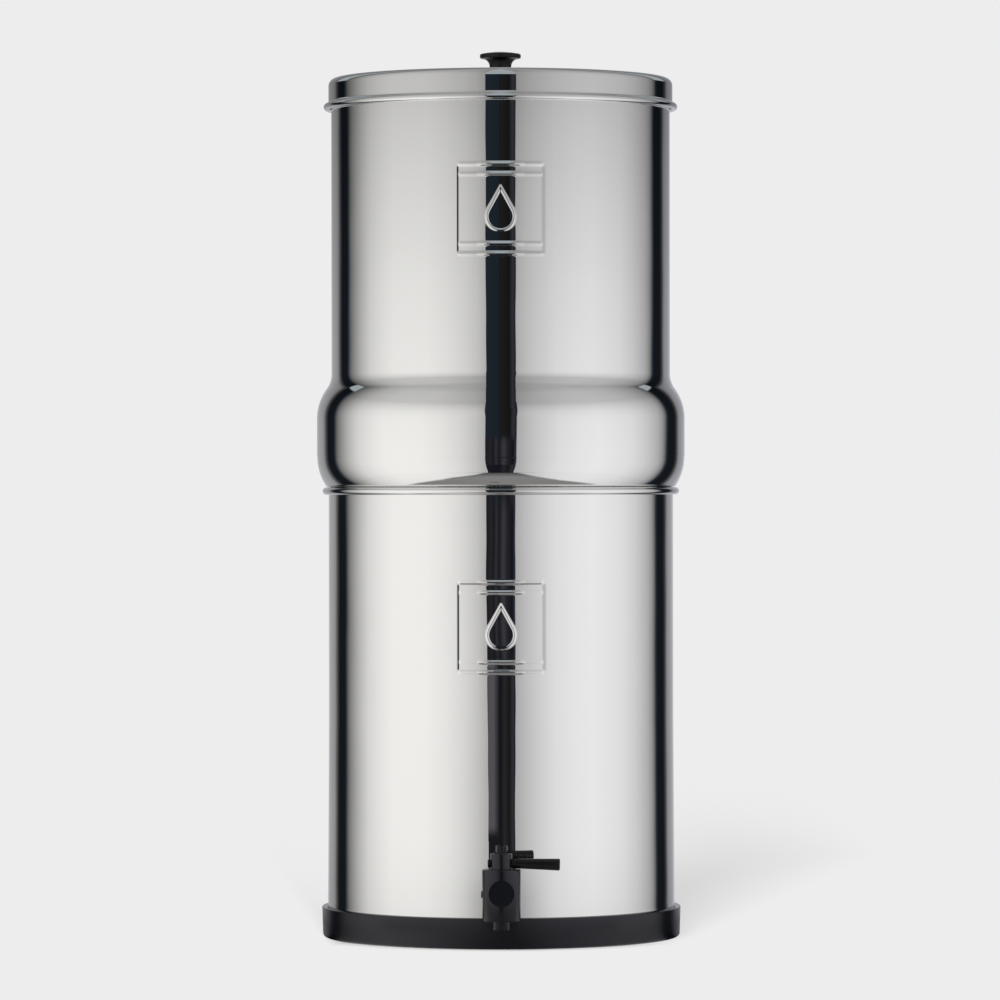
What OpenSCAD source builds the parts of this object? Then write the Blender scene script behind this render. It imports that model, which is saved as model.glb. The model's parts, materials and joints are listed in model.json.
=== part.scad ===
// Gravity water filter: two stacked steel chambers, filter candles, a lid and a quarter-turn tap.
// The origin is on the chambers' axis at the bottom of the base ring. +Z is up, the tap points to -Y.

/* [Steel sheet] */
// Thickness of the steel sheet
sheet_t = 0.8; // [0.6:0.1:1.0]

/* [Lower chamber] */
// Outer radius of the lower chamber's wall
lower_r = 103.2; // [101:0.1:105]
// Height of the lower chamber, from its floor to the top of its rolled rim
lower_h = 261.8; // [240:0.1:290]
// Radius of the roll round the lower chamber's mouth
rim_bead_r = 2.25; // [2:0.05:2.5]
// Outer radius of the corner between wall and floor
floor_corner_r = 6; // [4:0.5:8]
// How far the wall flares out at its foot
foot_flare = 0.7; // [0:0.1:1]
// Height of the flared stretch, above the lower chamber's floor
foot_flare_h = 125; // [80:1:160]

/* [Upper chamber] */
// How much smaller the upper chamber's wall is in radius than the lower chamber's
upper_step = 1.8; // [1:0.1:4]
// Height of the straight wall above the bulge
upper_wall_h = 175.2; // [150:0.1:200]
// How far the bulge stands out of the upper chamber's wall
bulge_out = 8.8; // [7.5:0.1:12]
// Radius of the hollow curve where the wall runs into the bulge
bulge_hollow_r = 15; // [10:0.5:20]
// Radius of the round curve at the top of the bulge
bulge_top_r = 31; // [25:0.5:36]
// Height of the bulge's straight band
bulge_band_h = 22.6; // [15:0.1:30]
// Radius of the round curve at the bottom of the bulge
bulge_low_r = 32; // [28:0.5:36]
// Height of the curve at the bottom of the bulge, above the seat
bulge_low_h = 17.9; // [14:0.1:20]
// Depth of the skirt that nests in the lower chamber
skirt_h = 18; // [12:0.5:24]
// Radius of the hem rolled inwards at the mouth
hem_r = 1.6; // [1.2:0.1:2]

/* [Embossed panels] */
// Width of the raised frame on each chamber
panel_w = 51; // [40:0.5:60]
// Height of the raised frame
panel_h = 54; // [40:0.5:60]
// Width of the frame's line and of the ribs in it
panel_line = 1.4; // [1:0.1:2]
// How far the lines stand out of the wall
panel_relief = 0.5; // [0.3:0.05:0.8]
// Distance from the frame to the first rib in it
panel_rib_gap = 5.5; // [4:0.5:7]
// Radius of the drop's round end, to the outside of its line
drop_r = 9; // [7:0.5:10]
// Height of the drop, from the bottom of its round end to its tip
drop_h = 27; // [24:0.5:30]
// Height of the lower panel's middle, above the lower chamber's floor
lower_panel_z = 181; // [150:0.5:210]
// Height of the upper panel's middle, below the upper chamber's mouth
upper_panel_drop = 80; // [60:0.5:90]

/* [Lid] */
// Gap between the upper chamber's wall and the lid's wall, all round
lid_gap = 0.85; // [0.6:0.05:1.2]
// Height of the lid, from the middle of its bead to its top
lid_h = 16.9; // [14:0.1:22]
// Outer radius of the lid's top corner
lid_corner_r = 4.3; // [3:0.1:6]
// Radius of the bead round the lid's lower edge
lid_bead_r = 2; // [1.5:0.1:2]
// How far the bead stands out of the lid's wall
lid_bead_out = 2.9; // [2.5:0.1:3.2]

/* [Lid knob] */
// Radius of the knob's top
knob_r = 12.3; // [10:0.1:15]
// Thickness of the knob's top at its edge
knob_edge_t = 2.3; // [1.8:0.1:3]
// Height of the knob above the lid
knob_h = 16.3; // [14:0.1:20]
// Radius of the knob's neck
knob_neck_r = 6.1; // [5:0.1:7]
// Radius of the flare under the knob's top
knob_flare_r = 4; // [3:0.1:5]
// Thickness of the washer under the knob
knob_washer_t = 1; // [0.5:0.1:1.5]
// Radius of the knob's screw
knob_screw_r = 2; // [1.5:0.1:2.5]
// Radius of the screw's head
knob_head_r = 4; // [3.5:0.1:5]
// Height of the screw's head
knob_head_h = 1.6; // [1.2:0.1:2.4]

/* [Base ring] */
// Height of the base ring
base_h = 18; // [14:0.5:24]
// Wall of the base ring beside the chamber
base_wall = 3.2; // [2.5:0.1:4]
// How far the ring's outside leans in towards its foot
base_lean = 0.5; // [0:0.1:1]
// Radius of the ring's outer bottom edge
base_edge_r = 2; // [1:0.1:3]
// Height of the ledge that carries the chamber
ledge_z = 7; // [5:0.5:9]
// Thickness of the ledge
ledge_t = 3; // [2:0.5:4]
// Width of the ledge
ledge_w = 14; // [10:0.5:20]
// Gap between the ring and the chamber's wall
base_gap = 0.3; // [0.1:0.05:0.4]

/* [Tap] */
// Distance from the chamber's wall to the tap's upright axis
tap_reach = 40; // [34:0.5:48]
// Height of the tap's barrel above the ground
tap_z = 34.8; // [33:0.1:50]
// Radius of the upright housing at its top
tap_house_r = 11.3; // [11:0.05:13]
// How much smaller the housing's radius is at its bottom
tap_house_draft = 0.3; // [0:0.05:0.5]
// Height of the housing above the barrel's axis
tap_house_up = 14.5; // [13.5:0.1:18]
// Height of the housing below the barrel's axis
tap_house_down = 15.3; // [14.5:0.1:16]
// Radius of the housing's top edge
tap_edge_r = 0.8; // [0.4:0.1:1.2]
// Radius of the barrel
tap_barrel_r = 7.7; // [7:0.1:8.5]
// How far the barrel's closed end stands out of the housing's front
tap_nose_out = 0.5; // [0.3:0.1:1.5]
// Radius of the flange at the wall
tap_flange_r = 12; // [11:0.1:14]
// Thickness of the flange
tap_flange_t = 3; // [2:0.1:4]
// Outer radius of the stem's thread
tap_thread_r = 6; // [5.5:0.1:6.5]
// Pitch of the ridges of all threads
thread_pitch = 1.5; // [1:0.25:2]
// Depth of the grooves of all threads
thread_depth = 0.5; // [0.3:0.05:0.6]
// Length of the stem behind the flange
tap_stem_l = 20; // [18:0.5:26]
// Radius of the water way through stem and barrel
tap_way_r = 3.5; // [3:0.1:4]
// Radius of the spout
tap_spout_r = 4.85; // [4.5:0.05:5.5]
// Length of the spout below the housing
tap_spout_l = 5.2; // [4:0.1:9]
// Thickness of the washer outside the wall, at its middle
tap_washer_t = 2.2; // [2:0.1:3]
// Radius of the washers
tap_washer_r = 11.2; // [10:0.1:13]
// Width across the flats of the nut
tap_nut_af = 21; // [18:0.5:24]
// Thickness of the nut
tap_nut_t = 7; // [5:0.5:9]

/* [Tap plug and lever] */
// Radius of the rotating plug
plug_r = 7.4; // [7:0.1:7.6]
// Radius of the hub above the housing
hub_r = 6.2; // [5.5:0.1:6.5]
// Height of the hub above the housing
hub_h = 9; // [8:0.1:12]
// Section radius of the O-rings
seal_r = 0.8; // [0.6:0.1:0.9]
// Height of the gland ring that traps the plug
gland_h = 2.4; // [2:0.1:3]
// Width of the gland ring
gland_w = 2.4; // [2:0.1:2.6]
// Radius of the lever where it passes through the hub
lever_pin_r = 2; // [1.5:0.1:2.2]
// Radius of the lever beside the hub
lever_root_r = 2.75; // [2.5:0.05:3]
// Radius of the lever at its tip
lever_tip_r = 3.45; // [3:0.05:3.5]
// Length of the lever, from the plug's axis to its tip
lever_l = 33.7; // [28:0.1:40]
// Height of the lever's axis above the housing, at the hub
lever_up = 3.3; // [3.2:0.1:4.5]
// How far the lever's stub stands out on the hub's other side
lever_stub_l = 1.7; // [1:0.1:2.5]
// Distance from the lever's tip to the groove round it
lever_groove_l = 10.3; // [8:0.1:14]

/* [Filter candles] */
// Distance from the chamber's axis to each floor hole
hole_circle_r = 48; // [44:0.5:54]
// Radius of the stems that pass through the floor
stem_r = 5; // [4:0.1:5.5]
// Outer radius of a ceramic candle
candle_r = 25; // [22:0.5:27]
// Height of the ceramic part of a candle
candle_h = 165; // [120:1:180]
// Wall of the ceramic
candle_wall = 8; // [6:0.5:9]
// Height of the carbon core
core_h = 130; // [90:1:140]
// Height of the plastic base of a candle
candle_base_h = 12; // [10:0.5:16]
// Wall of the plastic base round the ceramic
candle_base_wall = 1.8; // [1.5:0.1:2.5]
// Length of a stem under the chamber's floor
stem_l = 24; // [20:0.5:30]
// Radius of the water way down a candle's stem
candle_way_r = 2.5; // [2:0.1:3]
// Thickness of a candle base's bottom, under the ceramic
candle_foot_t = 3; // [2:0.5:4]
// Radius of a sealing washer
washer_r = 11; // [9:0.5:12]
// Thickness of a sealing washer
washer_t = 2; // [1.5:0.1:3]
// Radius of a wing nut's hub
nut_r = 8; // [7:0.1:9]
// Height of a wing nut's hub
nut_h = 8; // [7:0.5:10]
// Span of a wing nut's wings
wing_span = 36; // [30:0.5:40]
// Thickness of a wing
wing_t = 3; // [2:0.1:4]
// Height of a wing
wing_h = 9; // [8:0.5:11]
// Gap between the wings and the floor
wing_gap = 1; // [0.5:0.1:2]
// Radius of a blanking plug's head
blank_r = 12; // [10:0.5:14]
// Height of a blanking plug's head
blank_h = 6; // [4:0.5:8]

/* [Fits] */
// Gap where one lift-off piece rests on another
rest_gap = 0.3; // [0.2:0.05:0.4]
// Radial gap between the upper chamber's skirt and the lower chamber's wall
nest_gap = 0.5; // [0.4:0.05:0.8]
// Radial gap of the rotating plug in its bore
run_gap = 0.05; // [0.02:0.01:0.08]
// Gap between fixed pieces that are screwed or pressed together
set_gap = 0.04; // [0.02:0.01:0.08]
// Gap between the rotating plug's ends and what traps it
end_gap = 0.3; // [0.2:0.05:0.4]
// Gap round a stem in its hole through the sheet
hole_gap = 0.4; // [0.3:0.05:0.8]

/* [Hidden] */
$fn = 96;
eps = 0.01;

// Lower chamber, and the rim that carries the upper one
foot_r = lower_r + foot_flare;
flare_top_z = ledge_z + foot_flare_h;
rim_z = ledge_z + lower_h;
rim_bead_cr = lower_r - sheet_t + rim_bead_r;
rim_bead_z = rim_z - rim_bead_r;
base_r = foot_r + base_gap + base_wall;

// Upper chamber, from its seat on the rim upwards
upper_r = lower_r - upper_step;
bulge_r = upper_r + bulge_out;
seat_z = rim_z + rest_gap;
skirt_r = lower_r - sheet_t - nest_gap;
floor_z = seat_z - skirt_h;
bulge_low_z = seat_z + bulge_low_h;
bulge_top_z = bulge_low_z + bulge_band_h;
bulge_turn = acos(1 - bulge_out / (bulge_hollow_r + bulge_top_r));
hollow_z = bulge_top_z + (bulge_hollow_r + bulge_top_r) * sin(bulge_turn);
mouth_z = hollow_z + upper_wall_h;
low_turn = asin(bulge_low_h / bulge_low_r);
shoulder_r = bulge_r - bulge_low_r * (1 - cos(low_turn));
skirt_corner_r = 4;

// Lid, whose top corner lies on the hem of the upper chamber
lid_r = upper_r + lid_gap + sheet_t;
hem_dx = max(0, lid_corner_r - sheet_t - lid_gap - hem_r);
hem_dz = sqrt(pow(lid_corner_r - sheet_t - hem_r - rest_gap, 2) - pow(hem_dx, 2));
lid_top_z = mouth_z - hem_r - hem_dz + lid_corner_r;
lid_bead_cr = lid_r + lid_bead_out - lid_bead_r;
knob_top_z = lid_top_z + knob_h;
knob_low_z = lid_top_z + knob_washer_t;

// Tap
tap_y = -(lower_r + tap_reach);
wall_y = -radius_at(tap_z);
flange_y = wall_y - tap_washer_t;
house_top_z = tap_z + tap_house_up;
house_low_z = tap_z - tap_house_down;
nose_y = tap_y - tap_house_r - tap_nose_out;
stem_end_y = flange_y + tap_stem_l;
bore_r = plug_r + run_gap;
gland_in_r = hub_r + end_gap;
gland_out_r = gland_in_r + gland_w;
gland_z = house_top_z - gland_h;
plug_top_z = gland_z - end_gap;
plug_low_z = tap_z - tap_way_r - 8;
seal_z = [tap_z - tap_way_r - 4, tap_z + tap_way_r + 3];
seal_cr = plug_r - seal_r;
lever_z = house_top_z + lever_up;
lever_start = hub_r + set_gap;
lever_droop = atan((lever_tip_r - lever_root_r) / (lever_l - lever_start));
inner_wall_y = wall_y + sheet_t;
nut_y = inner_wall_y + tap_washer_t;

// Candles and plugs on the floor
floor_top_z = floor_z + sheet_t;
seat_top_z = floor_top_z + washer_t;
shell_z = seat_top_z + candle_foot_t;
stem_low_z = floor_z - stem_l;

// Outer radius of the lower chamber's wall at height z
function radius_at(z) = z > flare_top_z ? lower_r
    : lower_r + foot_flare * (flare_top_z - z) / foot_flare_h;

// Strip of sheet bent to an arc: outer radius r, thickness t, from angle a to angle b
module bend(centre, r, t, a, b) {
    far = 2 * r;
    mid = (a + b) / 2;
    translate(centre)
        intersection() {
            difference() {
                circle(r = r);
                circle(r = r - t);
            }
            polygon([
                [0, 0], [far * cos(a), far * sin(a)],
                [far * cos(mid), far * sin(mid)], [far * cos(b), far * sin(b)]
            ]);
        }
}

// Rectangle from one corner to the other
module area(low, high) {
    translate(low) square(high - low);
}

// Ring of plain section, standing on height z
module ring(r_out, r_in, z, h) {
    translate([0, 0, z])
        difference() {
            cylinder(r = r_out, h = h);
            translate([0, 0, -1]) cylinder(r = r_in, h = h + 2);
        }
}

// Ridges of a thread along +Z, as a solid rod with v-shaped grooves
module threaded_rod(r, length, pitch) {
    turns = floor(length / pitch) - 1;
    rotate_extrude()
        difference() {
            area([0, 0], [r, length]);
            for (i = [0 : turns])
                translate([r, (i + 0.75) * pitch])
                    polygon([[-thread_depth, 0], [eps, -pitch / 2 + eps], [eps, pitch / 2 - eps]]);
        }
}

// Outline of a drop, with its round end at the bottom and its tip at height tip
module drop(r, tip) {
    touch = acos(r / (tip - r));
    circle(r = r);
    polygon([
        [0, tip - r], [r * sin(touch), r * cos(touch)],
        [0, 0], [-r * sin(touch), r * cos(touch)]
    ]);
}

// Lines of an embossed panel, drawn flat
module panel_lines() {
    rib_y = panel_h / 2 - panel_rib_gap;
    drop_y = -drop_h / 2 + drop_r;
    difference() {
        square([panel_w, panel_h], center = true);
        square([panel_w - 2 * panel_line, panel_h - 2 * panel_line], center = true);
    }
    for (side = [-1, 1])
        translate([0, side * rib_y])
            square([panel_w - 2 * panel_rib_gap, panel_line], center = true);
    translate([0, drop_y])
        difference() {
            drop(drop_r, drop_h);
            drop(drop_r - panel_line, drop_h - 2.8 * panel_line);
        }
}

// An embossed panel that stands out of a wall of radius r, with its middle at height z
module panel(r, z) {
    intersection() {
        ring(r + panel_relief, r - sheet_t / 2, z - panel_h, 2 * panel_h);
        translate([0, -r + sheet_t, z])
            rotate([90, 0, 0])
                linear_extrude(height = panel_h / 2)
                    panel_lines();
    }
}

// Solid of revolution that fills the lower chamber's wall out to radius grow beyond it
module lower_fill(grow) {
    rotate_extrude($fn = 4 * $fn)
        polygon([
            [0, ledge_z], [foot_r + grow, ledge_z], [lower_r + grow, flare_top_z],
            [lower_r + grow, rim_z], [0, rim_z]
        ]);
}

module base_ring() {
    low_r = base_r - base_lean;
    edge_cr = low_r - base_edge_r;
    wall_in_r = foot_r + base_gap;
    foot_in_r = wall_in_r - base_wall;
    ledge_in_r = foot_r - ledge_w;
    color("#26282b")
        rotate_extrude() {
            polygon([
                [foot_in_r, 0], [edge_cr, 0], [low_r, base_edge_r], [base_r, base_h],
                [wall_in_r, base_h], [wall_in_r, ledge_z], [ledge_in_r, ledge_z],
                [ledge_in_r, ledge_z - ledge_t], [foot_in_r, ledge_z - ledge_t]
            ]);
            translate([edge_cr, base_edge_r]) circle(r = base_edge_r);
        }
}

module lower_chamber() {
    corner_cr = foot_r - floor_corner_r;
    corner_z = ledge_z + floor_corner_r;
    foot_wall_r = radius_at(corner_z);
    color("silver")
        difference() {
            union() {
                rotate_extrude() {
                    area([lower_r - sheet_t, flare_top_z], [lower_r, rim_bead_z]);
                    polygon([
                        [foot_wall_r - sheet_t, corner_z], [foot_wall_r, corner_z],
                        [lower_r, flare_top_z], [lower_r - sheet_t, flare_top_z]
                    ]);
                    bend([foot_wall_r - floor_corner_r, corner_z], floor_corner_r, sheet_t, -90, 0);
                    area([0, ledge_z], [foot_wall_r - floor_corner_r, ledge_z + sheet_t]);
                    translate([rim_bead_cr, rim_bead_z]) circle(r = rim_bead_r);
                }
                panel(lower_r, ledge_z + lower_panel_z);
            }
            translate([0, wall_y + 3 * sheet_t, tap_z])
                rotate([90, 0, 0]) cylinder(r = tap_thread_r + hole_gap, h = 6 * sheet_t);
        }
}

module upper_chamber() {
    hollow_cr = upper_r + bulge_hollow_r;
    top_cr = bulge_r - bulge_top_r;
    low_cr = bulge_r - bulge_low_r;
    color("silver")
        difference() {
            union() {
                rotate_extrude() {
                    area([upper_r - sheet_t, hollow_z], [upper_r, mouth_z - hem_r]);
                    translate([upper_r - hem_r, mouth_z - hem_r]) circle(r = hem_r);
                    bend([hollow_cr, hollow_z], bulge_hollow_r + sheet_t, sheet_t,
                        180, 180 + bulge_turn);
                    bend([top_cr, bulge_top_z], bulge_top_r, sheet_t, 0, bulge_turn);
                    area([bulge_r - sheet_t, bulge_low_z], [bulge_r, bulge_top_z]);
                    bend([low_cr, bulge_low_z], bulge_low_r, sheet_t, -low_turn, 0);
                    area([skirt_r - sheet_t, seat_z], [shoulder_r, seat_z + sheet_t]);
                    area([skirt_r - sheet_t, floor_z + skirt_corner_r], [skirt_r, seat_z + sheet_t]);
                    bend([skirt_r - skirt_corner_r, floor_z + skirt_corner_r],
                        skirt_corner_r, sheet_t, -90, 0);
                    area([0, floor_z], [skirt_r - skirt_corner_r, floor_z + sheet_t]);
                }
                panel(upper_r, mouth_z - upper_panel_drop);
            }
            for (angle = [0 : 90 : 270])
                rotate([0, 0, angle])
                    translate([hole_circle_r, 0, floor_z - 1])
                        cylinder(r = stem_r + hole_gap, h = sheet_t + 2);
        }
}

module lid() {
    corner_cr = lid_r - lid_corner_r;
    bead_z = lid_top_z - lid_h;
    color("silver")
        difference() {
            rotate_extrude() {
                area([0, lid_top_z - sheet_t], [corner_cr, lid_top_z]);
                bend([corner_cr, lid_top_z - lid_corner_r], lid_corner_r, sheet_t, 0, 90);
                area([lid_r - sheet_t, bead_z], [lid_r, lid_top_z - lid_corner_r]);
                translate([lid_bead_cr, bead_z]) circle(r = lid_bead_r);
            }
            translate([0, 0, lid_top_z - 2 * sheet_t])
                cylinder(r = knob_screw_r + hole_gap, h = 3 * sheet_t);
        }
}

module lid_washer() {
    color("#303236")
        ring(knob_neck_r, knob_screw_r + hole_gap, lid_top_z, knob_washer_t);
}

module lid_knob() {
    under_z = knob_top_z - knob_edge_t;
    flare_cr = knob_neck_r + knob_flare_r;
    color("#17181a")
        difference() {
            rotate_extrude() {
                area([0, knob_low_z], [knob_neck_r, knob_top_z]);
                area([0, under_z], [knob_r, knob_top_z]);
                difference() {
                    area([0, under_z - knob_flare_r], [flare_cr, under_z]);
                    translate([flare_cr, under_z - knob_flare_r]) circle(r = knob_flare_r);
                }
            }
            translate([0, 0, knob_low_z - 1])
                cylinder(r = knob_screw_r + set_gap, h = knob_h * 0.6 + 1);
        }
}

module lid_screw() {
    head_z = lid_top_z - sheet_t - knob_head_h;
    color("gainsboro")
        difference() {
            union() {
                translate([0, 0, head_z]) cylinder(r = knob_head_r, h = knob_head_h);
                translate([0, 0, head_z]) cylinder(r = knob_screw_r, h = knob_h * 0.6);
            }
            for (angle = [0, 90])
                rotate([0, 0, angle])
                    translate([-knob_head_r / 2, -0.4, head_z - 1])
                        cube([knob_head_r, 0.8, 1.8]);
        }
}

// The tap's outside: upright housing, barrel, flange and spout
module tap_outside() {
    low_r = tap_house_r - tap_house_draft;
    edge_cr = tap_house_r - tap_edge_r;
    translate([0, tap_y, 0]) {
        rotate_extrude() {
            polygon([
                [0, house_low_z], [low_r, house_low_z],
                [tap_house_r, house_top_z - tap_edge_r], [0, house_top_z - tap_edge_r]
            ]);
            area([0, house_top_z - tap_edge_r - eps], [edge_cr, house_top_z]);
            translate([edge_cr, house_top_z - tap_edge_r]) circle(r = tap_edge_r);
        }
        translate([0, 0, house_low_z - tap_spout_l])
            cylinder(r = tap_spout_r, h = tap_spout_l + 1);
    }
    translate([0, flange_y, tap_z])
        rotate([90, 0, 0]) {
            cylinder(r = tap_barrel_r, h = flange_y - nose_y);
            cylinder(r = tap_flange_r, h = tap_flange_t);
        }
    translate([0, stem_end_y, tap_z])
        rotate([90, 0, 0]) threaded_rod(tap_thread_r, tap_stem_l, thread_pitch);
}

module tap_body() {
    color("#26282b")
        difference() {
            tap_outside();
            translate([0, tap_y, 0]) {
                translate([0, 0, plug_low_z - end_gap])
                    cylinder(r = bore_r, h = house_top_z);
                translate([0, 0, gland_z])
                    cylinder(r = gland_out_r + set_gap, h = gland_h + 1);
                translate([0, 0, house_low_z - tap_spout_l - 1])
                    cylinder(r = tap_way_r, h = tap_house_down + tap_spout_l);
            }
            translate([0, stem_end_y + 1, tap_z])
                rotate([90, 0, 0]) cylinder(r = tap_way_r, h = stem_end_y + 1 - tap_y);
        }
}

module tap_gland_ring() {
    color("#1d1e20")
        translate([0, tap_y, 0]) ring(gland_out_r, gland_in_r, gland_z, gland_h);
}

module tap_plug() {
    seal_w = 2 * (seal_r + set_gap);
    color("#1d1e20")
        translate([0, tap_y, 0])
            difference() {
                union() {
                    translate([0, 0, plug_low_z])
                        cylinder(r = plug_r, h = plug_top_z - plug_low_z);
                    translate([0, 0, plug_top_z - 1])
                        cylinder(r = hub_r, h = house_top_z + hub_h - plug_top_z + 1);
                }
                for (z = seal_z)
                    ring(plug_r + 1, seal_cr - seal_r - set_gap, z - seal_w / 2, seal_w);
                translate([0, 0, plug_low_z - 1])
                    cylinder(r = tap_way_r, h = tap_z - plug_low_z + 1);
                translate([0, 0, tap_z])
                    rotate([0, -90, 0]) cylinder(r = tap_way_r, h = plug_r + 1);
                translate([-hub_r - 1, 0, lever_z])
                    rotate([0, 90, 0]) cylinder(r = lever_pin_r + set_gap, h = 2 * hub_r + 2);
            }
}

module tap_seals() {
    color("#3a3a3a")
        translate([0, tap_y, 0])
            for (z = seal_z)
                translate([0, 0, z])
                    rotate_extrude() translate([seal_cr, 0]) circle(r = seal_r);
}

module tap_lever() {
    chamfer = 0.6;
    groove = 0.25;
    grip_l = lever_l - lever_start;
    groove_x = grip_l - lever_groove_l;
    color("#17181a")
        translate([0, tap_y, lever_z]) {
            translate([-hub_r - set_gap, 0, 0])
                rotate([0, 90, 0]) cylinder(r = lever_pin_r, h = 2 * lever_start);
            translate([-hub_r - set_gap - lever_stub_l, 0, 0])
                rotate([0, 90, 0]) cylinder(r = lever_pin_r + 0.4, h = lever_stub_l);
            translate([lever_start, 0, 0])
                rotate([0, 90 + lever_droop, 0])
                    rotate_extrude()
                        difference() {
                            polygon([
                                [0, 0], [lever_root_r, 0], [lever_tip_r, grip_l - chamfer],
                                [lever_tip_r - chamfer, grip_l], [0, grip_l]
                            ]);
                            translate([lever_tip_r - 2 * groove, groove_x])
                                square([1, groove], center = false);
                        }
        }
}

module tap_outer_washer() {
    color("#2c2d30")
        difference() {
            translate([0, wall_y + 2, tap_z])
                rotate([90, 0, 0])
                    ring(tap_washer_r, tap_thread_r + hole_gap, 0, tap_washer_t + 2 - set_gap);
            lower_fill(set_gap);
        }
}

module tap_inner_washer() {
    color("#2c2d30")
        intersection() {
            translate([0, nut_y - set_gap, tap_z])
                rotate([90, 0, 0])
                    ring(tap_washer_r, tap_thread_r + hole_gap, 0, tap_washer_t + 2);
            lower_fill(-sheet_t - set_gap);
        }
}

module tap_nut() {
    color("#26282b")
        translate([0, nut_y + tap_nut_t, tap_z])
            rotate([90, 0, 0])
                difference() {
                    cylinder(r = tap_nut_af / sqrt(3), h = tap_nut_t, $fn = 6);
                    translate([0, 0, -1]) cylinder(r = tap_thread_r + set_gap, h = tap_nut_t + 2);
                }
}

// Places a floor fitting: 0 is the right hole, 180 the left, 90 the rear, 270 the front
module at_hole(angle) {
    rotate([0, 0, angle]) translate([hole_circle_r, 0, 0]) children();
}

// Threaded stem under the floor, and its plain shank through it up to a fitting's seat
module floor_stem() {
    translate([0, 0, stem_low_z]) threaded_rod(stem_r, stem_l, thread_pitch);
    translate([0, 0, floor_z - eps]) cylinder(r = stem_r, h = seat_top_z - floor_z + 2 * eps);
}

module candle_shell(angle) {
    dome_z = shell_z + candle_h - candle_r;
    color("ivory")
        at_hole(angle)
            rotate_extrude()
                difference() {
                    union() {
                        area([0, shell_z], [candle_r, dome_z]);
                        intersection() {
                            translate([0, dome_z]) circle(r = candle_r);
                            area([0, dome_z - eps], [candle_r, dome_z + candle_r]);
                        }
                    }
                    area([-1, shell_z - 1], [candle_r - candle_wall, dome_z]);
                    intersection() {
                        translate([0, dome_z]) circle(r = candle_r - candle_wall);
                        area([-1, dome_z - eps], [candle_r, dome_z + candle_r]);
                    }
                }
}

module candle_core(angle) {
    core_r = candle_r - candle_wall - 2;
    color("#2b2b2d")
        at_hole(angle)
            ring(core_r, core_r / 3, shell_z + set_gap, core_h);
}

module candle_base(angle) {
    cup_r = candle_r + set_gap;
    color("white")
        at_hole(angle)
            difference() {
                union() {
                    translate([0, 0, seat_top_z])
                        cylinder(r = cup_r + candle_base_wall, h = candle_base_h);
                    floor_stem();
                }
                translate([0, 0, shell_z - set_gap]) cylinder(r = cup_r, h = candle_base_h);
                translate([0, 0, stem_low_z - 1])
                    cylinder(r = candle_way_r, h = shell_z - stem_low_z + 1);
            }
}

module floor_washer(angle) {
    color("#b8452c")
        at_hole(angle) ring(washer_r, stem_r + hole_gap, floor_top_z, washer_t);
}

module wing_nut(angle) {
    color("white")
        at_hole(angle)
            difference() {
                union() {
                    translate([0, 0, floor_z - nut_h]) cylinder(r = nut_r, h = nut_h);
                    translate([-wing_span / 2, -wing_t / 2, floor_z - wing_gap - wing_h])
                        cube([wing_span, wing_t, wing_h]);
                }
                translate([0, 0, floor_z - wing_gap - wing_h - 1])
                    cylinder(r = stem_r + set_gap, h = wing_h + wing_gap + 2);
            }
}

module blank_plug(angle) {
    color("white")
        at_hole(angle) {
            translate([0, 0, seat_top_z]) cylinder(r = blank_r, h = blank_h);
            floor_stem();
        }
}

base_ring();
lower_chamber();
tap_outer_washer();
tap_body();
tap_gland_ring();
tap_inner_washer();
tap_nut();
tap_plug();
tap_seals();
tap_lever();
upper_chamber();
candle_shell(180);  // candle_shell_left
candle_shell(0);  // candle_shell_right
candle_core(180);  // candle_core_left
candle_core(0);  // candle_core_right
candle_base(180);  // candle_base_left
candle_base(0);  // candle_base_right
floor_washer(180);  // candle_washer_left
floor_washer(0);  // candle_washer_right
wing_nut(180);  // wing_nut_left
wing_nut(0);  // wing_nut_right
blank_plug(270);  // blank_plug_front
blank_plug(90);  // blank_plug_rear
floor_washer(270);  // blank_washer_front
floor_washer(90);  // blank_washer_rear
wing_nut(270);  // blank_nut_front
wing_nut(90);  // blank_nut_rear
lid();
lid_washer();
lid_knob();
lid_screw();
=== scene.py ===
"""Gravity water filter: the visible pieces, their finishes and a plain studio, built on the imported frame."""
import json
from math import acos, asin, atan2, cos, degrees, hypot, pi, radians, sin, sqrt

import bpy
from bpy.props import FloatProperty, FloatVectorProperty, PointerProperty
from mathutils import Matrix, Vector


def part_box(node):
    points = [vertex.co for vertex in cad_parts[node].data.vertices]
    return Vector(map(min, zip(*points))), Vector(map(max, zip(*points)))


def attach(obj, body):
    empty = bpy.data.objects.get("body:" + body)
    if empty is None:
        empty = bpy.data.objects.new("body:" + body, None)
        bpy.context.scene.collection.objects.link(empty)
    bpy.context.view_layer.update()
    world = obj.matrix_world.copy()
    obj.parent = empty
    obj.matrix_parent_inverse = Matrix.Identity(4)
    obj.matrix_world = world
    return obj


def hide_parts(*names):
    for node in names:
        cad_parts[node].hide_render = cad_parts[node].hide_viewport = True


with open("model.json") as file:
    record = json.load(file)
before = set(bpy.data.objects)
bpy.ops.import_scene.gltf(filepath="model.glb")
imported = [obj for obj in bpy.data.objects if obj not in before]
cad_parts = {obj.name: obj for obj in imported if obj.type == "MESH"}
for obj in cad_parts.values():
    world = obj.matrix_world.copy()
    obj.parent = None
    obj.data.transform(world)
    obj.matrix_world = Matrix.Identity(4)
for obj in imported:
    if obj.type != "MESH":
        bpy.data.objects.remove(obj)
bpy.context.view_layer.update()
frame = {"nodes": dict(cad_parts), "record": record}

bl_info = {
    "name": "Gravity water filter",
    "version": (1, 0, 0),
    "blender": (4, 5, 0),
    "location": "View3D > Sidebar > Water Filter",
    "description": "Builds a two-chamber steel gravity water filter with a lever tap",
    "category": "Add Mesh",
}

MM = 0.001


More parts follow.
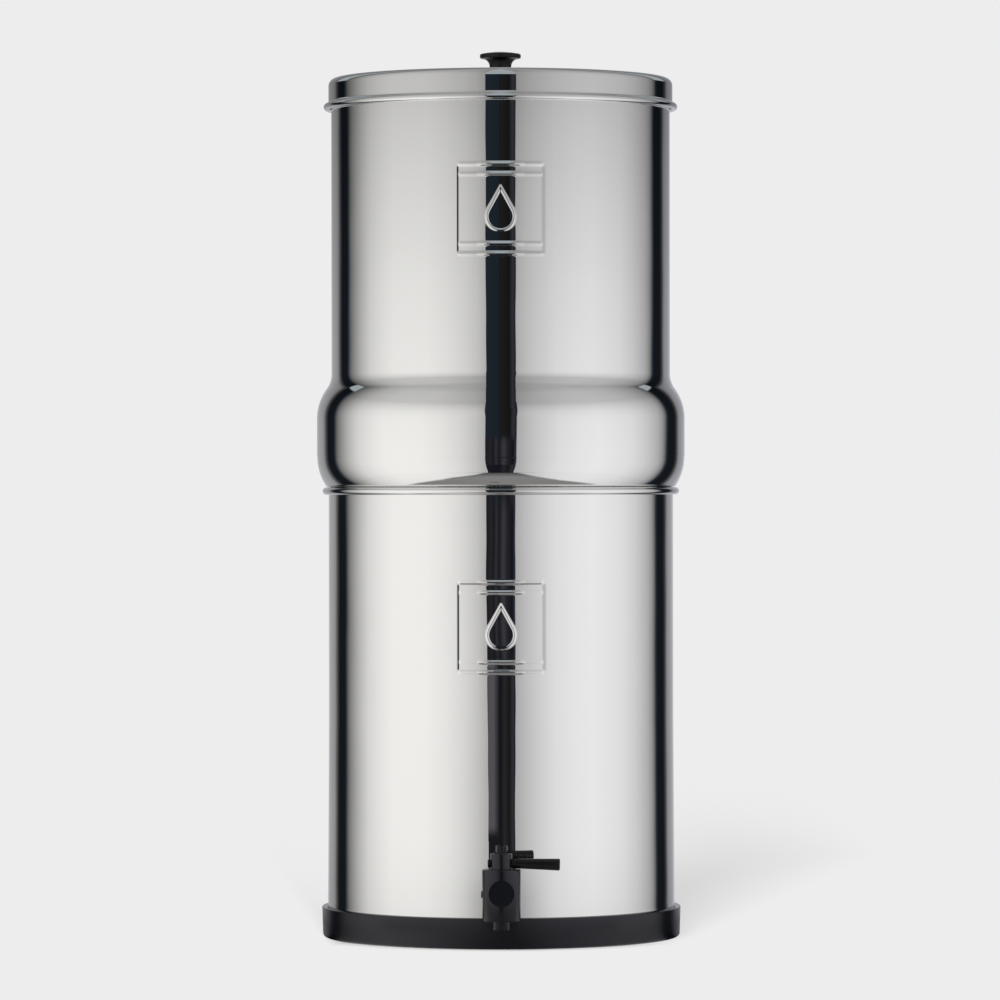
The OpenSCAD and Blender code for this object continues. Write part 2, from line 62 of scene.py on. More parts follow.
def length(name, description, default):
    """A size that shows in scene units."""
    return FloatProperty(name=name, description=description, default=default, unit="LENGTH", precision=5)


def colour(name, description, default):
    """A surface colour, linear."""
    return FloatVectorProperty(
        name=name, description=description, default=default, subtype="COLOR", size=3, min=0, max=1
    )


class SteelSizes(bpy.types.PropertyGroup):
    """Sizes of the pressed and spun steel pieces."""

    sheet: length("Sheet", "Thickness of the steel sheet", 0.8 * MM)
    lower_r: length("Lower radius", "Outer radius of the lower chamber's wall", 103.2 * MM)
    lower_z: length("Lower floor", "Height of the lower chamber's floor", 7 * MM)
    flare: length("Foot flare", "How far the lower wall widens at its foot", 0.7 * MM)
    flare_top: length("Flare top", "Height where the foot's flare ends", 132 * MM)
    corner_r: length("Floor corner", "Radius between the lower wall and its floor", 6 * MM)
    rim_r: length("Rim roll", "Radius of the roll round the lower chamber's mouth", 2.25 * MM)
    rim_top: length("Rim top", "Height of the top of that roll", 268.8 * MM)
    upper_r: length("Upper radius", "Outer radius of the upper chamber's wall", 101.4 * MM)
    skirt_r: length("Skirt radius", "Outer radius of the skirt that nests below", 101.9 * MM)
    skirt_corner_r: length("Skirt corner", "Radius between the skirt and the floor", 4 * MM)
    floor_z: length("Upper floor", "Height of the upper chamber's floor", 251.1 * MM)
    seat_z: length("Seat", "Height where the upper chamber sits on the rim", 269.1 * MM)
    bulge_r: length("Bulge radius", "Outer radius of the upper chamber's bulge", 110.2 * MM)
    bulge_low: length("Bulge low curve", "Radius of the curve under the bulge's band", 32 * MM)
    bulge_low_h: length("Low curve height", "Height of that curve above the seat", 17.9 * MM)
    band: length("Bulge band", "Height of the bulge's straight band", 22.6 * MM)
    bulge_top: length("Bulge top curve", "Radius of the curve over the bulge's band", 31 * MM)
    hollow: length("Hollow curve", "Radius where the bulge runs into the wall", 15 * MM)
    hem: length("Hem", "Radius of the hem rolled in at the mouth", 1.6 * MM)
    lid_wall: length("Lid radius", "Outer radius of the lid's wall", 103.05 * MM)
    lid_corner: length("Lid corner", "Radius of the lid's top corner", 4.3 * MM)
    lid_h: length("Lid height", "From the middle of the lid's bead to its top", 16.9 * MM)
    lid_bead: length("Lid bead", "Radius of the bead round the lid's edge", 2 * MM)
    lid_bead_out: length("Bead overhang", "How far that bead stands out of the lid's wall", 2.9 * MM)
    emboss: length("Emboss", "How far the embossed lines stand out", 0.8 * MM)
    ridge: length("Ridge", "Half the width of an embossed line", 1.8 * MM)
    recess: length("Recess", "How far the panel between the lines is pressed in", 0.33 * MM)


class TapSizes(bpy.types.PropertyGroup):
    """Sizes of the lever tap."""

    axis_z: length("Barrel height", "Height of the tap's barrel above the ground", 34.8 * MM)
    axis_y: length("Housing place", "Where the upright housing's axis stands", -143.2 * MM)
    house_r: length("Housing radius", "Radius of the upright housing at its top", 11.3 * MM)
    house_draft: length("Housing draft", "How much smaller the housing is at its bottom", 0.3 * MM)
    house_up: length("Housing above", "Height of the housing above the barrel's axis", 14.5 * MM)
    house_down: length("Housing below", "Height of the housing below the barrel's axis", 15.3 * MM)
    edge: length("Housing edge", "Radius of the housing's top edge", 0.8 * MM)
    barrel_r: length("Barrel", "Radius of the barrel", 7.7 * MM)
    boss_up: length("Boss height", "How far the front boss sits above the barrel's axis", 1.1 * MM)
    flange_r: length("Flange", "Radius of the flange at the wall", 11.2 * MM)
    flange_t: length("Flange thickness", "Thickness of that flange", 3 * MM)
    stem_r: length("Stem", "Radius of the threaded stem", 6 * MM)
    way_r: length("Water way", "Radius of the water way", 3.5 * MM)
    spout_r: length("Spout", "Radius of the spout", 4.85 * MM)
    spout_l: length("Spout length", "Length of the spout below the housing", 5.2 * MM)
    plug_r: length("Plug", "Radius of the turning plug", 7.4 * MM)
    hub_r: length("Hub", "Radius of the hub above the housing", 6.2 * MM)
    lever_up: length("Lever height", "Height of the lever's axis above the housing", 3.3 * MM)
    lever_root: length("Lever root", "Radius of the lever beside the hub", 2.75 * MM)
    lever_tip: length("Lever tip", "Radius of the lever at its tip", 3.45 * MM)
    lever_groove: length("Lever groove", "From the lever's tip to the groove round it", 10.3 * MM)


class FittingSizes(bpy.types.PropertyGroup):
    """Sizes of the candles and of the fittings in the upper chamber's floor."""

    circle: length("Hole circle", "From the middle of the floor to a fitting's hole", 48 * MM)
    hole_r: length("Floor hole", "Radius of a hole in the floor", 5.4 * MM)
    stem_r: length("Stem", "Radius of a fitting's threaded stem", 5 * MM)
    candle_r: length("Candle", "Outer radius of a candle's ceramic", 25 * MM)
    candle_wall: length("Candle wall", "Thickness of that ceramic", 8 * MM)
    way_r: length("Water way", "Radius of the water way in a candle's stem", 2.5 * MM)
    nut_r: length("Wing nut", "Radius of a wing nut's hub", 8 * MM)
    wing_t: length("Wing", "Thickness of a wing", 3 * MM)
    plug_r: length("Blank plug", "Radius of a blanking plug's head", 12 * MM)


class FilterColours(bpy.types.PropertyGroup):
    """Colours of the finishes."""

    steel: colour("Steel", "Mirror-polished stainless steel", (0.86, 0.86, 0.855))
    black: colour("Moulded black", "Matt moulded black of the base ring", (0.0035, 0.004, 0.0055))
    tap_black: colour("Tap black", "Satin moulded black of the tap", (0.003, 0.0036, 0.005))
    knob_black: colour("Knob black", "Soft gloss black of knob and lever", (0.005, 0.005, 0.006))
    rubber: colour("Rubber", "Black rubber of seals and washers", (0.02, 0.02, 0.021))
    white: colour("Moulded white", "White plastic of the candle fittings", (0.82, 0.82, 0.8))
    ceramic: colour("Ceramic", "Unglazed ceramic of the candles", (0.8, 0.78, 0.72))
    carbon: colour("Carbon", "Pressed carbon of the candle cores", (0.02, 0.02, 0.02))
    washer: colour("Red rubber", "Red-brown rubber of the floor washers", (0.4, 0.08, 0.045))
    plated: colour("Plated steel", "Plated steel of the knob's screw", (0.62, 0.62, 0.6))


# ---------------------------------------------------------------- modelling by outline


def mode(name):
    """Switches the active object to a mode."""
    bpy.ops.object.mode_set(mode=name)


def nothing_selected():
    """Leaves edit mode and deselects every object."""
    if bpy.context.object and bpy.context.object.mode != "OBJECT":
        mode("OBJECT")
    bpy.ops.object.select_all(action="DESELECT")


def select_only(piece):
    """Selects the piece alone and makes it active."""
    nothing_selected()
    piece.select_set(True)
    bpy.context.view_layer.objects.active = piece


def extrude(step):
    """Extrudes what is selected by one step."""
    bpy.ops.mesh.extrude_region_move(TRANSFORM_OT_translate={"value": step})


class Outline:
    """A line drawn from point to point on an upright half plane, to be turned round the upright axis."""

    def __init__(self, name, r, z, azimuth=0.0):
        nothing_selected()
        bpy.ops.mesh.primitive_plane_add(size=2 * MM)
        self.piece = bpy.context.object
        self.piece.name = self.piece.data.name = name
        self.outward = Vector((cos(azimuth), sin(azimuth), 0))
        self.side = Vector((-sin(azimuth), cos(azimuth), 0))
        self.at = (r, z)
        mode("EDIT")
        bpy.ops.mesh.select_mode(type="VERT")
        bpy.ops.mesh.merge(type="CENTER")
        bpy.ops.transform.translate(value=self.point(r, z))

    def point(self, r, z):
        """The place in space of radius r and height z."""
        return self.outward * r + Vector((0, 0, z))

    def line(self, r, z, steps=1):
        """A straight stroke to r, z."""
        step = (self.point(r, z) - self.point(*self.at)) / steps
        for _ in range(steps):
            extrude(step)
        self.at = (r, z)
        return self

    def arc(self, r, z, sweep, steps):
        """An arc about r, z through sweep degrees, counter-clockwise with the axis on the left."""
        turned = atan2(self.at[1] - z, self.at[0] - r) + radians(sweep)
        reach = hypot(self.at[0] - r, self.at[1] - z)
        bpy.ops.mesh.spin(steps=steps, angle=radians(sweep), center=self.point(r, z), axis=self.side)
        self.at = (r + reach * cos(turned), z + reach * sin(turned))
        return self

    def thread(self, r, depth, low, high, pitch=1.5 * MM):
        """The ridges of a screw thread, from height low to high."""
        turns = int((high - low) / pitch)
        for i in range(turns):
            self.line(r - depth, low + i * pitch)
            self.line(r, low + (i + 0.35) * pitch).line(r, low + (i + 0.65) * pitch)
        return self.line(r - depth, low + turns * pitch)

    def turn(self, *spans):
        """Turns the outline round the upright axis, clockwise, in spans of (degrees, steps)."""
        bpy.ops.mesh.select_all(action="SELECT")
        for span, steps in spans:
            bpy.ops.mesh.spin(steps=steps, angle=radians(span), center=(0, 0, 0), axis=(0, 0, 1))
        bpy.ops.mesh.select_all(action="SELECT")
        bpy.ops.mesh.remove_doubles(threshold=0.002 * MM)
        bpy.ops.mesh.delete_loose(use_verts=True, use_edges=True, use_faces=False)
        bpy.ops.mesh.select_all(action="SELECT")
        bpy.ops.mesh.normals_make_consistent(inside=False)
        mode("OBJECT")
        return self.piece


def apply_modifier(piece, kind, **settings):
    """Adds one modifier to the piece and applies it."""
    select_only(piece)
    modifier = piece.modifiers.new(kind.title(), kind)
    for name, value in settings.items():
        setattr(modifier, name, value)
    bpy.ops.object.modifier_apply(modifier=modifier.name)


def combine(piece, operation, tools):
    """Cuts the tools out of the piece or melts them into it, and removes them."""
    for tool in tools:
        apply_modifier(piece, "BOOLEAN", operation=operation, solver="EXACT", object=tool)
        bpy.data.objects.remove(tool)


def cut(piece, *tools):
    """Cuts the tools' shapes out of the piece."""
    combine(piece, "DIFFERENCE", tools)


def join(piece, *others):
    """Melts the other shapes into the piece."""
    combine(piece, "UNION", others)


def drill(name, r, x, y, z, depth, steps=48):
    """A round cutter of radius r that stands on x, y, z, its corners turned away from the piece's own."""
    nothing_selected()
    bpy.ops.mesh.primitive_cylinder_add(
        vertices=steps, radius=r, depth=depth, location=(x, y, z + depth / 2), rotation=(0, 0, radians(0.83))
    )
    bpy.ops.object.transform_apply(location=True, rotation=True, scale=False)
    tool = bpy.context.object
    tool.name = name
    return tool


def reshaped(piece, operator, **settings):
    """Runs a transform operator on the piece's whole shape and leaves its object at the origin."""
    select_only(piece)
    mode("EDIT")
    bpy.ops.mesh.select_all(action="SELECT")
    operator(**settings)
    mode("OBJECT")
    return piece


def turned(piece, axis, angle):
    """Turns the piece's shape about an axis through the origin, counter-clockwise seen against it."""
    about = {"orient_axis": axis, "orient_type": "GLOBAL", "center_override": (0, 0, 0)}
    return reshaped(piece, bpy.ops.transform.rotate, value=-radians(angle), **about)


def moved(piece, x, y, z):
    """Moves the piece's shape."""
    return reshaped(piece, bpy.ops.transform.translate, value=(x, y, z))


def pick(piece, kind, test):
    """Selects, in edit mode, the piece's edges or faces that pass the test."""
    select_only(piece)
    mode("EDIT")
    bpy.ops.mesh.select_mode(type=kind)
    bpy.ops.mesh.select_all(action="DESELECT")
    mode("OBJECT")
    for part in piece.data.edges if kind == "EDGE" else piece.data.polygons:
        part.select = test(part)
    mode("EDIT")


def twin(piece, name):
    """A copy of the piece with its own mesh."""
    other = piece.copy()
    other.data = piece.data.copy()
    other.name = other.data.name = name
    bpy.context.scene.collection.objects.link(other)
    return other


def place(piece, body, slot, *nodes, sharp=35):
    """Shades the piece smooth up to sharp degrees, gives it its slot's finish and body, hides its solids."""
    select_only(piece)
    bpy.ops.object.shade_smooth_by_angle(angle=radians(sharp))
    piece.data.materials.clear()
    piece.data.materials.append(finish_for(slot))
    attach(piece, body)
    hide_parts(*nodes)


# ---------------------------------------------------------------- embossed panels

LOWER_PANEL_Z = 187.3 * MM
UPPER_PANEL_Z = 431 * MM
PANEL_BAND = 30 * MM
FRAME_H, RIB_H, LINE_HALF = 26.1 * MM, 20.3 * MM, 23.5 * MM


def ridge(distance, half_width, height=1):
    """Height of a rounded ridge at a distance from its middle line."""
    if abs(distance) >= half_width:
        return 0.0
    return height * 0.5 * (1 + cos(pi * distance / half_width))


def drop_distance(x, z, r=8 * MM, tip=17 * MM):
    """Signed distance to a drop whose round end is centred on the origin and whose tip is above it."""
    x = abs(x)
    touch = acos(r / tip)
    along = Vector((sin(touch), cos(touch)))
    if x * along.y < z * along.x and Vector((x, z)).dot(along) > 0 and z > r * cos(touch):
        return Vector((x, z)).dot(along) - r
    return hypot(x, z) - r


def between(value, start, end):
    """0 before start, 1 after end, straight in between."""
    return min(max((value - start) / (end - start), 0), 1)


def raised_by(x, up, half_width):
    """Height of the frame, ribs and drop at x, up from the panel's middle, as a share of the emboss."""
    over = max(abs(x) - LINE_HALF, 0)
    lines = [hypot(abs(up) - FRAME_H, over), hypot(abs(up) - RIB_H, over * 1.4)]
    height = max(ridge(line, half_width) for line in lines)
    height *= 1 - 0.72 * between(abs(x), 8.5 * MM, 14 * MM)
    return max(height, ridge(drop_distance(x, up + 4.5 * MM), 1.25 * MM, 0.42))


def sunk_by(x, up):
    """Depth of the panel between the lines at x, up from its middle, as a share of the recess."""
    depth = between(-x, 25.7 * MM, 24.4 * MM) if x < 0 else between(x, 26.2 * MM, 24.1 * MM)
    return depth * between(abs(up), FRAME_H, FRAME_H - 1.6 * MM)


def emboss(piece, radius, middle):
    """Presses a frame, two ribs and a drop outline into the wall's front."""
    sizes = bpy.context.scene.filter_steel
    raised = piece.vertex_groups.new(name="raised")
    sunk = piece.vertex_groups.new(name="sunk")
    for vertex in piece.data.vertices:
        x, y, z = vertex.co
        up = z - middle
        if y > 0 or abs(x) > 28 * MM or abs(up) > 29 * MM or hypot(x, y) < radius - 0.2 * MM:
            continue
        for group, weight in ((raised, raised_by(x, up, sizes.ridge)), (sunk, sunk_by(x, up))):
            if weight > 0:
                group.add([vertex.index], weight, "REPLACE")
    # Applying a modifier renews the groups, so from here they go by name.
    for group, strength in (("raised", sizes.emboss), ("sunk", -sizes.recess)):
        apply_modifier(
            piece, "DISPLACE", strength=strength, mid_level=0, direction="NORMAL", vertex_group=group
        )
    piece.vertex_groups.clear()


# ---------------------------------------------------------------- finishes


class Value:
    """A number or colour worked out in a node tree, to reckon with as with a plain number."""

    def __init__(self, nodes, socket):
        self.nodes = nodes
        self.socket = socket

    def __add__(self, other):
        return self.nodes.math("ADD", self, other)

    def __radd__(self, other):
        return self.nodes.math("ADD", other, self)

    def __sub__(self, other):
        return self.nodes.math("SUBTRACT", self, other)

    def __mul__(self, other):
        return self.nodes.math("MULTIPLY", self, other)

    def __rmul__(self, other):
        return self.nodes.math("MULTIPLY", other, self)

    def __truediv__(self, other):
        return self.nodes.math("DIVIDE", self, other)

    def __neg__(self):
        return self * -1.0

    def __abs__(self):
        return self.nodes.math("ABSOLUTE", self)

    def above(self, level):
        """1 where it is more than level, 0 elsewhere."""
        return self.nodes.math("GREATER_THAN", self, level)

    def below(self, level):
        """1 where it is less than level, 0 elsewhere."""
        return self.nodes.math("LESS_THAN", self, level)

    def most(self, other):
        """The greater of the two."""
        return self.nodes.math("MAXIMUM", self, other)

    def rise(self, start, end):
        """0 before start, 1 after end, soft in between."""
        soft = {"interpolation_type": "SMOOTHSTEP"}
        return self.nodes.value("ShaderNodeMapRange", soft, Value=self, From_Min=start, From_Max=end)

    def span(self, low, high):
        """low to high as it goes from 0 to 1."""
        return self.nodes.value("ShaderNodeMapRange", Value=self, To_Min=low, To_Max=high)

    def ramp(self, stops):
        """A colour ramp over it, with stops of (place, grey or colour)."""
        node = self.nodes.add("ShaderNodeValToRGB", Fac=self)
        band = node.color_ramp.elements
        while len(band) < len(stops):
            band.new(0.5)
        for element, (place_at, tone) in zip(band, sorted(stops)):
            element.position = place_at
            element.color = (*tone, 1) if isinstance(tone, tuple) else (tone, tone, tone, 1)
        return Value(self.nodes, node.outputs[0])

    def times(self, tone):
        """This colour multiplied by another."""
        return self.nodes.mixed(1.0, self, tone, "MULTIPLY")

    def where(self, mask, tone):
        """This colour, or tone where the mask is 1."""
        return self.nodes.mixed(mask, self, tone)


class Nodes:
    """A material's node tree, built link by link."""

    def __init__(self, name):
        self.material = bpy.data.materials.new(name)
        self.material.use_nodes = True
        self.tree = self.material.node_tree
        self.tree.nodes.clear()
        self.output = self.add("ShaderNodeOutputMaterial")

    def add(self, kind, settings=None, **inputs):
        """A node with its settings, and its inputs set or linked by name."""
        node = self.tree.nodes.new(kind)
        for name, value in (settings or {}).items():
            setattr(node, name, value)
        for name, value in inputs.items():
            self.feed(node, name.replace("_", " "), value)
        return node

    def value(self, kind, settings=None, out=0, **inputs):
        """One output of a new node."""
        return Value(self, self.add(kind, settings, **inputs).outputs[out])

    def feed(self, node, socket, value):
        """Sets one input, or links a value into it."""
        if isinstance(value, Value):
            self.tree.links.new(value.socket, node.inputs[socket])
        else:
            node.inputs[socket].default_value = value

    def math(self, operation, a, b=0.0, clamp=False):
        """One sum of a and b."""
        node = self.add("ShaderNodeMath", {"operation": operation, "use_clamp": clamp})
        self.feed(node, 0, a)
        self.feed(node, 1, b)
        return Value(self, node.outputs[0])

    def vector(self, operation, a, b=(0, 0, 0), out="Value"):
        """One sum of the vectors a and b."""
        node = self.add("ShaderNodeVectorMath", {"operation": operation})
        self.feed(node, 0, a)
        self.feed(node, 1, b)
        return Value(self, node.outputs[out])

    def split(self, vector):
        """The three parts of a vector."""
        return [Value(self, part) for part in self.add("ShaderNodeSeparateXYZ", Vector=vector).outputs]

    def own_place(self):
        """The piece's own coordinates."""
        return self.value("ShaderNodeTexCoord", out="Object")

    def stage_place(self):
        """x to the right, distance in front and height of a point on a stage piece."""
        x, y, z = self.split(self.own_place())
        return x, -y, z

    def noise(self, scale, detail=3.0, roughness=0.5, stretch=(1, 1, 1)):
        """Noise on the piece's own coordinates, in lumps of 1 / scale metres."""
        where = self.value("ShaderNodeMapping", Vector=self.own_place(), Scale=stretch)
        return self.value(
            "ShaderNodeTexNoise", out="Fac", Vector=where, Scale=scale, Detail=detail, Roughness=roughness
        )

    def mixed(self, factor, a, b, blend="MIX"):
        """Colour a, or b where factor is 1."""
        node = self.add("ShaderNodeMix", {"data_type": "RGBA", "blend_type": blend})
        self.feed(node, 0, factor)
        for socket, tone in ((6, a), (7, b)):
            self.feed(node, socket, tone if isinstance(tone, Value) else (*tone, 1))
        return Value(self, node.outputs[2])

    def bump(self, height, distance):
        """A bump whose height counts in distance metres."""
        return self.value("ShaderNodeBump", Height=height, Distance=distance, Strength=1.0)

    def light(self, tone):
        """Plain light of that tone, which isn't sampled as a lamp."""
        self.material.cycles.emission_sampling = "NONE"
        return self.value("ShaderNodeEmission", Color=tone, Strength=1.0)

    def either(self, factor, a, b):
        """Shader a, or b where factor is 1."""
        node = self.add("ShaderNodeMixShader", Fac=factor)
        self.feed(node, 1, a)
        self.feed(node, 2, b)
        return Value(self, node.outputs[0])

    def show(self, shader):
        """Sends the shader to the output and gives the material."""
        self.feed(self.output, 0, shader)
        return self.material

    def finish(self, **inputs):
        """The material of a real surface."""
        return self.show(self.value("ShaderNodeBsdfPrincipled", **inputs))


def lighter(tone, factor):
    """The tone times factor, held below 1."""
    return tuple(min(c * factor, 1) for c in tone)


def inside_chambers(nodes):
    """1 on steel that faces the chambers' axis and on the chambers' floors, 0 elsewhere."""
    spot = nodes.own_place()
    normal = nodes.value("ShaderNodeTexCoord", out="Normal")
    level = nodes.vector("MULTIPLY", spot, (1, 1, 0), out="Vector")
    up = nodes.split(normal)[2]
    z = nodes.split(spot)[2]
    floor = up.above(0.5) * z.below(0.5) * nodes.vector("LENGTH", level).below(0.099)
    return nodes.vector("DOT_PRODUCT", level, normal).below(-0.01).most(floor)


def mirror_steel(slot, tone):
    """Polished stainless sheet: a mirror with faint waves and turning marks, satin inside the chambers."""
    nodes = Nodes(slot)
    marks = nodes.noise(900, 2.0, 0.6, (0.02, 0.02, 1))
    inside = inside_chambers(nodes)
    return nodes.finish(
        Base_Color=nodes.mixed(nodes.noise(14), lighter(tone, 0.99), tone),
        Metallic=inside.span(1.0, 0.55),
        Roughness=marks.span(0.01, 0.03).most(inside * marks.span(0.27, 0.36)),
        Normal=nodes.bump(nodes.noise(13, 2.0, 0.45, (1, 1, 0.7)), 0.55 * MM),
    )


def moulded(slot, tone, roughness, grain, depth, specular=0.5, sheen=(1, 1, 1)):
    """Moulded plastic or rubber with a fine grain and slightly uneven sheen."""
    nodes = Nodes(slot)
    uneven = 0.15
    fine = nodes.noise(grain, 2.0, 0.6)
    return nodes.finish(
        Base_Color=nodes.mixed(fine, lighter(tone, 0.9), lighter(tone, 1.1)),
        Roughness=nodes.noise(60, 2.0).span(roughness * (1 - uneven), roughness * (1 + uneven)),
        Specular_IOR_Level=specular,
        Specular_Tint=(*sheen, 1),
        Normal=nodes.bump(fine, depth),
    )


def fired_ceramic(slot, tone):
    """Unglazed porous ceramic."""
    nodes = Nodes(slot)
    pores = nodes.noise(2500, 3.0, 0.7)
    return nodes.finish(
        Base_Color=nodes.mixed(nodes.noise(35, 3.0), lighter(tone, 0.94), tone),
        Roughness=pores.span(0.75, 0.95),
        Normal=nodes.bump(pores, 0.08 * MM),
    )


def plated_steel(slot, tone):
    """Plated steel with fine marks."""
    nodes = Nodes(slot)
    marks = nodes.noise(1500, 2.0)
    return nodes.finish(
        Base_Color=nodes.mixed(marks, lighter(tone, 0.93), tone),
        Metallic=1.0,
        Roughness=marks.span(0.2, 0.34),
    )


COOL = (0.93, 0.9, 1.0)
# The maker, the colour's name and, where it is moulded, roughness, grain, grain's depth, specular and sheen.
MAKERS = {
    "polished_steel": (mirror_steel, "steel"),
    "black_plastic": (moulded, "black", 0.2, 3000, 0.006 * MM, 0.5, COOL),
    "tap_plastic": (moulded, "tap_black", 0.22, 2500, 0.004 * MM, 0.5, COOL),
    "knob_plastic": (moulded, "knob_black", 0.2, 2500, 0.003 * MM, 0.3),
    "seal_rubber": (moulded, "rubber", 0.6, 2500, 0.01 * MM, 0.3),
    "white_plastic": (moulded, "white", 0.38, 2500, 0.008 * MM),
    "ceramic": (fired_ceramic, "ceramic"),
    "carbon": (moulded, "carbon", 0.85, 1800, 0.1 * MM, 0.2),
    "washer_rubber": (moulded, "washer", 0.6, 2500, 0.01 * MM, 0.3),
    "screw_steel": (plated_steel, "plated"),
}
FINISHES = {}


def finish_for(slot):
    """The finish of one of the record's material slots, made once."""
    if slot not in FINISHES:
        maker, name, *settings = MAKERS[slot]
        FINISHES[slot] = maker(slot, getattr(bpy.context.scene.filter_colours, name), *settings)
    return FINISHES[slot]


# ---------------------------------------------------------------- steel pieces

# The chambers' faces are short round the front, where the panels are.
PANEL_SIDE = radians(-72)
FINE_FRONT = ((36, 150), (324, 108))


class WATERFILTER_OT_lower_chamber(bpy.types.Operator):
    """Build the lower steel chamber with its rolled rim, embossed panel and tap hole"""

    bl_idname = "water_filter.lower_chamber"
    bl_label = "Lower Chamber"

    def execute(self, context):
        s = context.scene.filter_steel
        bead_r = s.lower_r - s.sheet + s.rim_r
        bead_z = s.rim_top - s.rim_r
        corner_z = s.lower_z + s.corner_r
        foot_r = self.wall_r(s, corner_z)
        notch = degrees(acos((bead_r - s.lower_r) / s.rim_r))
        neck_z = bead_z - s.rim_r * sin(radians(notch))
        behind_tap = (23 * MM, 47 * MM)
        skin = Outline("lower_chamber_shell", 0, s.lower_z, PANEL_SIDE)
        floor_r = foot_r - s.corner_r
        skin.line(40 * MM, s.lower_z).line(floor_r - MM, s.lower_z).line(floor_r, s.lower_z)
        skin.arc(floor_r, corner_z, 90, 14).line(foot_r, corner_z + MM)
        for z, steps in zip(behind_tap, (1, 16)):
            skin.line(self.wall_r(s, z), z, steps)
        skin.line(s.lower_r, s.flare_top, 5).line(s.lower_r, LOWER_PANEL_Z - PANEL_BAND, 2)
        skin.line(s.lower_r, LOWER_PANEL_Z + PANEL_BAND, 150)
        skin.line(s.lower_r, neck_z - MM, 2).line(s.lower_r, neck_z)
        skin.arc(bead_r, bead_z, 180 + notch, 36)
        skin.line(s.lower_r - s.sheet, bead_z - 3 * MM).line(s.lower_r - s.sheet, s.flare_top)
        skin.line(foot_r - s.sheet, corner_z)
        skin.arc(floor_r, corner_z, -90, 8)
        skin.line(40 * MM, s.lower_z + s.sheet).line(0, s.lower_z + s.sheet)
        shell = skin.turn(*FINE_FRONT)
        emboss(shell, s.lower_r, LOWER_PANEL_Z)
        hole = drill("tap_hole", 6.4 * MM, 0, 0, 0, 30 * MM)
        cut(shell, moved(turned(hole, "X", 90), 0, -s.lower_r + 15 * MM, context.scene.filter_tap.axis_z))
        place(shell, "stand", "polished_steel", "lower_chamber")
        return {"FINISHED"}

    @staticmethod
    def wall_r(s, z):
        """Outer radius of the flared foot at height z."""
        return s.lower_r + s.flare * (s.flare_top - z) / (s.flare_top - s.lower_z)


class WATERFILTER_OT_upper_chamber(bpy.types.Operator):
    """Build the upper steel chamber: nesting skirt, bulge, embossed panel and rolled hem"""

    bl_idname = "water_filter.upper_chamber"
    bl_label = "Upper Chamber"

    def execute(self, context):
        s = context.scene.filter_steel
        t = s.sheet
        turn = acos(1 - (s.bulge_r - s.upper_r) / (s.hollow + s.bulge_top))
        low_turn = asin(s.bulge_low_h / s.bulge_low)
        band_low = s.seat_z + s.bulge_low_h
        band_top = band_low + s.band
        hollow_z = band_top + (s.hollow + s.bulge_top) * sin(turn)
        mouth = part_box("upper_chamber")[1].z
        shoulder = s.bulge_r - s.bulge_low * (1 - cos(low_turn))
        corner_r, corner_z = s.skirt_r - s.skirt_corner_r, s.floor_z + s.skirt_corner_r
        skin = Outline("upper_chamber_shell", 0, s.floor_z, PANEL_SIDE)
        skin.line(30 * MM, s.floor_z).line(70 * MM, s.floor_z).line(corner_r, s.floor_z)
        skin.arc(corner_r, corner_z, 90, 10).line(s.skirt_r, s.seat_z - t)
        skin.arc(s.skirt_r + t, s.seat_z - t, -90, 5)
        skin.line(shoulder - 0.5 * MM, s.seat_z).line(shoulder, s.seat_z + 0.35 * MM)
        skin.arc(s.bulge_r - s.bulge_low, band_low, degrees(low_turn) - 0.75, 28)
        skin.line(s.bulge_r, band_low + MM).line(s.bulge_r, band_top - MM).line(s.bulge_r, band_top)
        skin.arc(s.bulge_r - s.bulge_top, band_top, degrees(turn), 30)
        skin.arc(s.upper_r + s.hollow, hollow_z, -degrees(turn), 24)
        skin.line(s.upper_r, hollow_z + MM).line(s.upper_r, UPPER_PANEL_Z - PANEL_BAND, 3)
        skin.line(s.upper_r, UPPER_PANEL_Z + PANEL_BAND, 150)
        skin.line(s.upper_r, mouth - s.hem - MM, 2).line(s.upper_r, mouth - s.hem)
        skin.arc(s.upper_r - s.hem, mouth - s.hem, 300, 24)
        skin.line(s.upper_r - t, hollow_z)
        skin.arc(s.upper_r + s.hollow, hollow_z, degrees(turn), 8)
        skin.arc(s.bulge_r - s.bulge_top, band_top, -degrees(turn), 10)
        skin.line(s.bulge_r - t, band_low)
        skin.arc(s.bulge_r - s.bulge_low, band_low, -degrees(low_turn), 10)
        skin.line(s.skirt_r - t, s.seat_z + t).line(s.skirt_r - t, corner_z)
        skin.arc(corner_r, corner_z, -90, 8)
        skin.line(70 * MM, s.floor_z + t).line(30 * MM, s.floor_z + t).line(0, s.floor_z + t)
        shell = skin.turn(*FINE_FRONT)
        emboss(shell, s.upper_r, UPPER_PANEL_Z)
        f = context.scene.filter_fittings
        for x, y in ((1, 0), (-1, 0), (0, 1), (0, -1)):
            cut(shell, drill("floor_hole", f.hole_r, x * f.circle, y * f.circle, s.floor_z - 2 * MM, 5 * MM))
        place(shell, "upper", "polished_steel", "upper_chamber")
        return {"FINISHED"}


